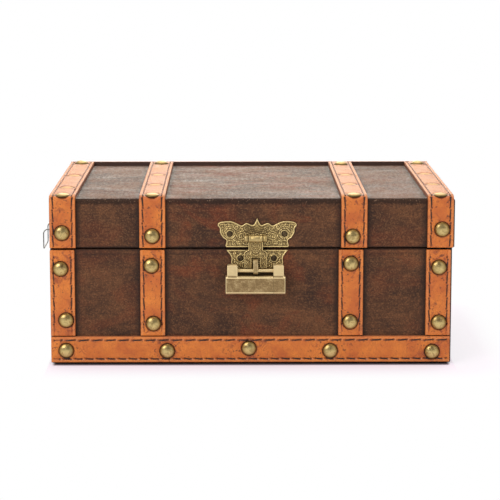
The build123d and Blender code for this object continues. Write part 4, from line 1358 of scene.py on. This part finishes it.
def dress_inside():
    flock, matted, board = flocked_lining(), felt(), fibreboard()
    for node in ("base_lining", "lid_lining"):
        repaint(node, flock)
    repaint("underside_sheet", matted)
    for node in cad:
        if node.endswith("_board"):
            repaint(node, board)


# Studio, in metres

floor_reach = 6.0
# Half of the trunk's footprint, from which the floor's shadow is measured
foot_x, foot_y = 0.145, 0.102
white = (1, 1, 1, 1)
even_light = 0.56
# Name, place, size, power and colour
lamps = (
    ("Key", (-1.15, -1.55, 1.25), 1.1, 19.0, (1.0, 1.0, 1.0)),
    ("Fill", (1.5, -1.3, 0.9), 1.6, 5.5, (1.0, 1.0, 1.0)),
    ("Overhead", (0.1, 0.35, 1.7), 1.5, 14.0, (1.0, 1.0, 1.0)),
    ("Behind", (0.0, 2.3, 0.95), 1.0, 14.4, (1.0, 0.885, 0.735)),
)
aim_at = (0, 0, 0.06)
# The camera as the photograph gives it: focal length and width in pixels, place and turn in degrees
focal_pixels, picture_pixels, sensor_width = 1983, 500, 36
camera_place = (-0.0133, -1.5072, 0.3158)
camera_drop = 9.365
camera_turn = -0.503


def lay_floor():
    """A pale floor that fades to a white glow away from the trunk and beside it, a painted light over its
    shadow, with a painted shadow, a dark line, where it stands.
    """
    r = floor_reach
    mesh = bpy.data.meshes.new("Floor")
    mesh.from_pydata([(-r, -r, 0), (r, -r, 0), (r, r, 0), (-r, r, 0)], [], [(0, 1, 2, 3)])
    floor = linked("Floor", mesh)
    f = Finish("Floor")
    cool, lilac, dark = (0.96, 0.965, 1.0, 1), (1.0, 0.84, 0.99, 1), (0.09, 0.075, 0.075, 1)
    x, y, _ = f.split(f.place)
    gap = length_of((abs(x) - foot_x).most(0.0), (abs(y) - foot_y).most(0.0))
    # Painted light: to the camera and in reflections the floor glows white, at 0.42 right by the trunk and
    # fully 52 mm off, fully beside its left side and mostly beside its right, which lifts the floor's shadow.
    beside = abs(x).rise(0.1446, 0.1480) * (1 - 0.28 * x.rise(0.0, 0.001))
    away = (0.42 + 0.58 * gap.rise(0.0, 0.052)).most(beside)
    # Painted shadow: a dark line on the floor along the trunk's front and back, where it stands.
    under = gap.fall(0.0006, 0.0052) * abs(x).fall(0.142, 0.1448)
    path = f.add("ShaderNodeLightPath")
    seen = path.out("Is Camera Ray").most(path.out("Is Glossy Ray")).most(path.out("Is Transmission Ray"))
    paper = f.add("ShaderNodeBsdfDiffuse", {"Color": f.paint(cool, lilac, seen)})
    shadow = f.add("ShaderNodeBsdfDiffuse", {"Color": dark})
    glow = f.add("ShaderNodeEmission", {"Color": white, "Strength": 1.0})
    paper = f.add("ShaderNodeMixShader", {0: under * 0.85, 1: paper, 2: shadow})
    mixed = f.add("ShaderNodeMixShader", {0: away * seen * (1 - under), 1: paper, 2: glow})
    f.add("ShaderNodeOutputMaterial", {"Surface": mixed})
    mesh.materials.append(f.material)


def light_room():
    """White to the camera, a soft gradient to what mirrors it, and an even light for the rest."""
    world = bpy.data.worlds.new("Studio")
    scene.world = world
    world.use_nodes = True
    w = Board(world.node_tree)
    path = w.add("ShaderNodeLightPath")
    x, y, z = w.split(w.add("ShaderNodeTexCoord").out("Generated"))
    gradient = 0.20 + 0.80 * (y * 0.7 + z * 0.4 - x * 0.35).rise(-0.6, 0.5)
    shown = path.out("Is Camera Ray")
    mirrored = path.out("Is Glossy Ray").most(path.out("Is Transmission Ray"))
    strength = shown.most(mirrored * gradient).most((1 - shown.most(mirrored)) * even_light)
    sky = w.add("ShaderNodeBackground", {"Color": white, "Strength": strength})
    w.add("ShaderNodeOutputWorld", {"Surface": sky})


def studio():
    """Floor, backdrop, soft lamps, and the camera where the photograph was taken."""
    scene.view_settings.view_transform = "Standard"
    lay_floor()
    light_room()
    for name, where, size, power, colour in lamps:
        lamp = bpy.data.lights.new(name, "AREA")
        lamp.shape = "SQUARE"
        lamp.size = size
        lamp.energy = power
        lamp.color = colour
        holder = linked(name, lamp)
        holder.location = where
        aim = Vector(aim_at) - Vector(where)
        holder.rotation_euler = aim.to_track_quat("-Z", "Y").to_euler()
    camera = bpy.data.cameras.new("Camera")
    camera.sensor_width = sensor_width
    camera.lens = focal_pixels / picture_pixels * sensor_width
    camera.clip_end = 50
    scene.camera = linked("Camera", camera)
    scene.camera.location = camera_place
    scene.camera.rotation_euler = (math.radians(90 - camera_drop), 0, math.radians(camera_turn))


studio()
dress_covers()
dress_straps(thread())
dress_nails(nail_brass())
dress_hardware()
dress_inside()
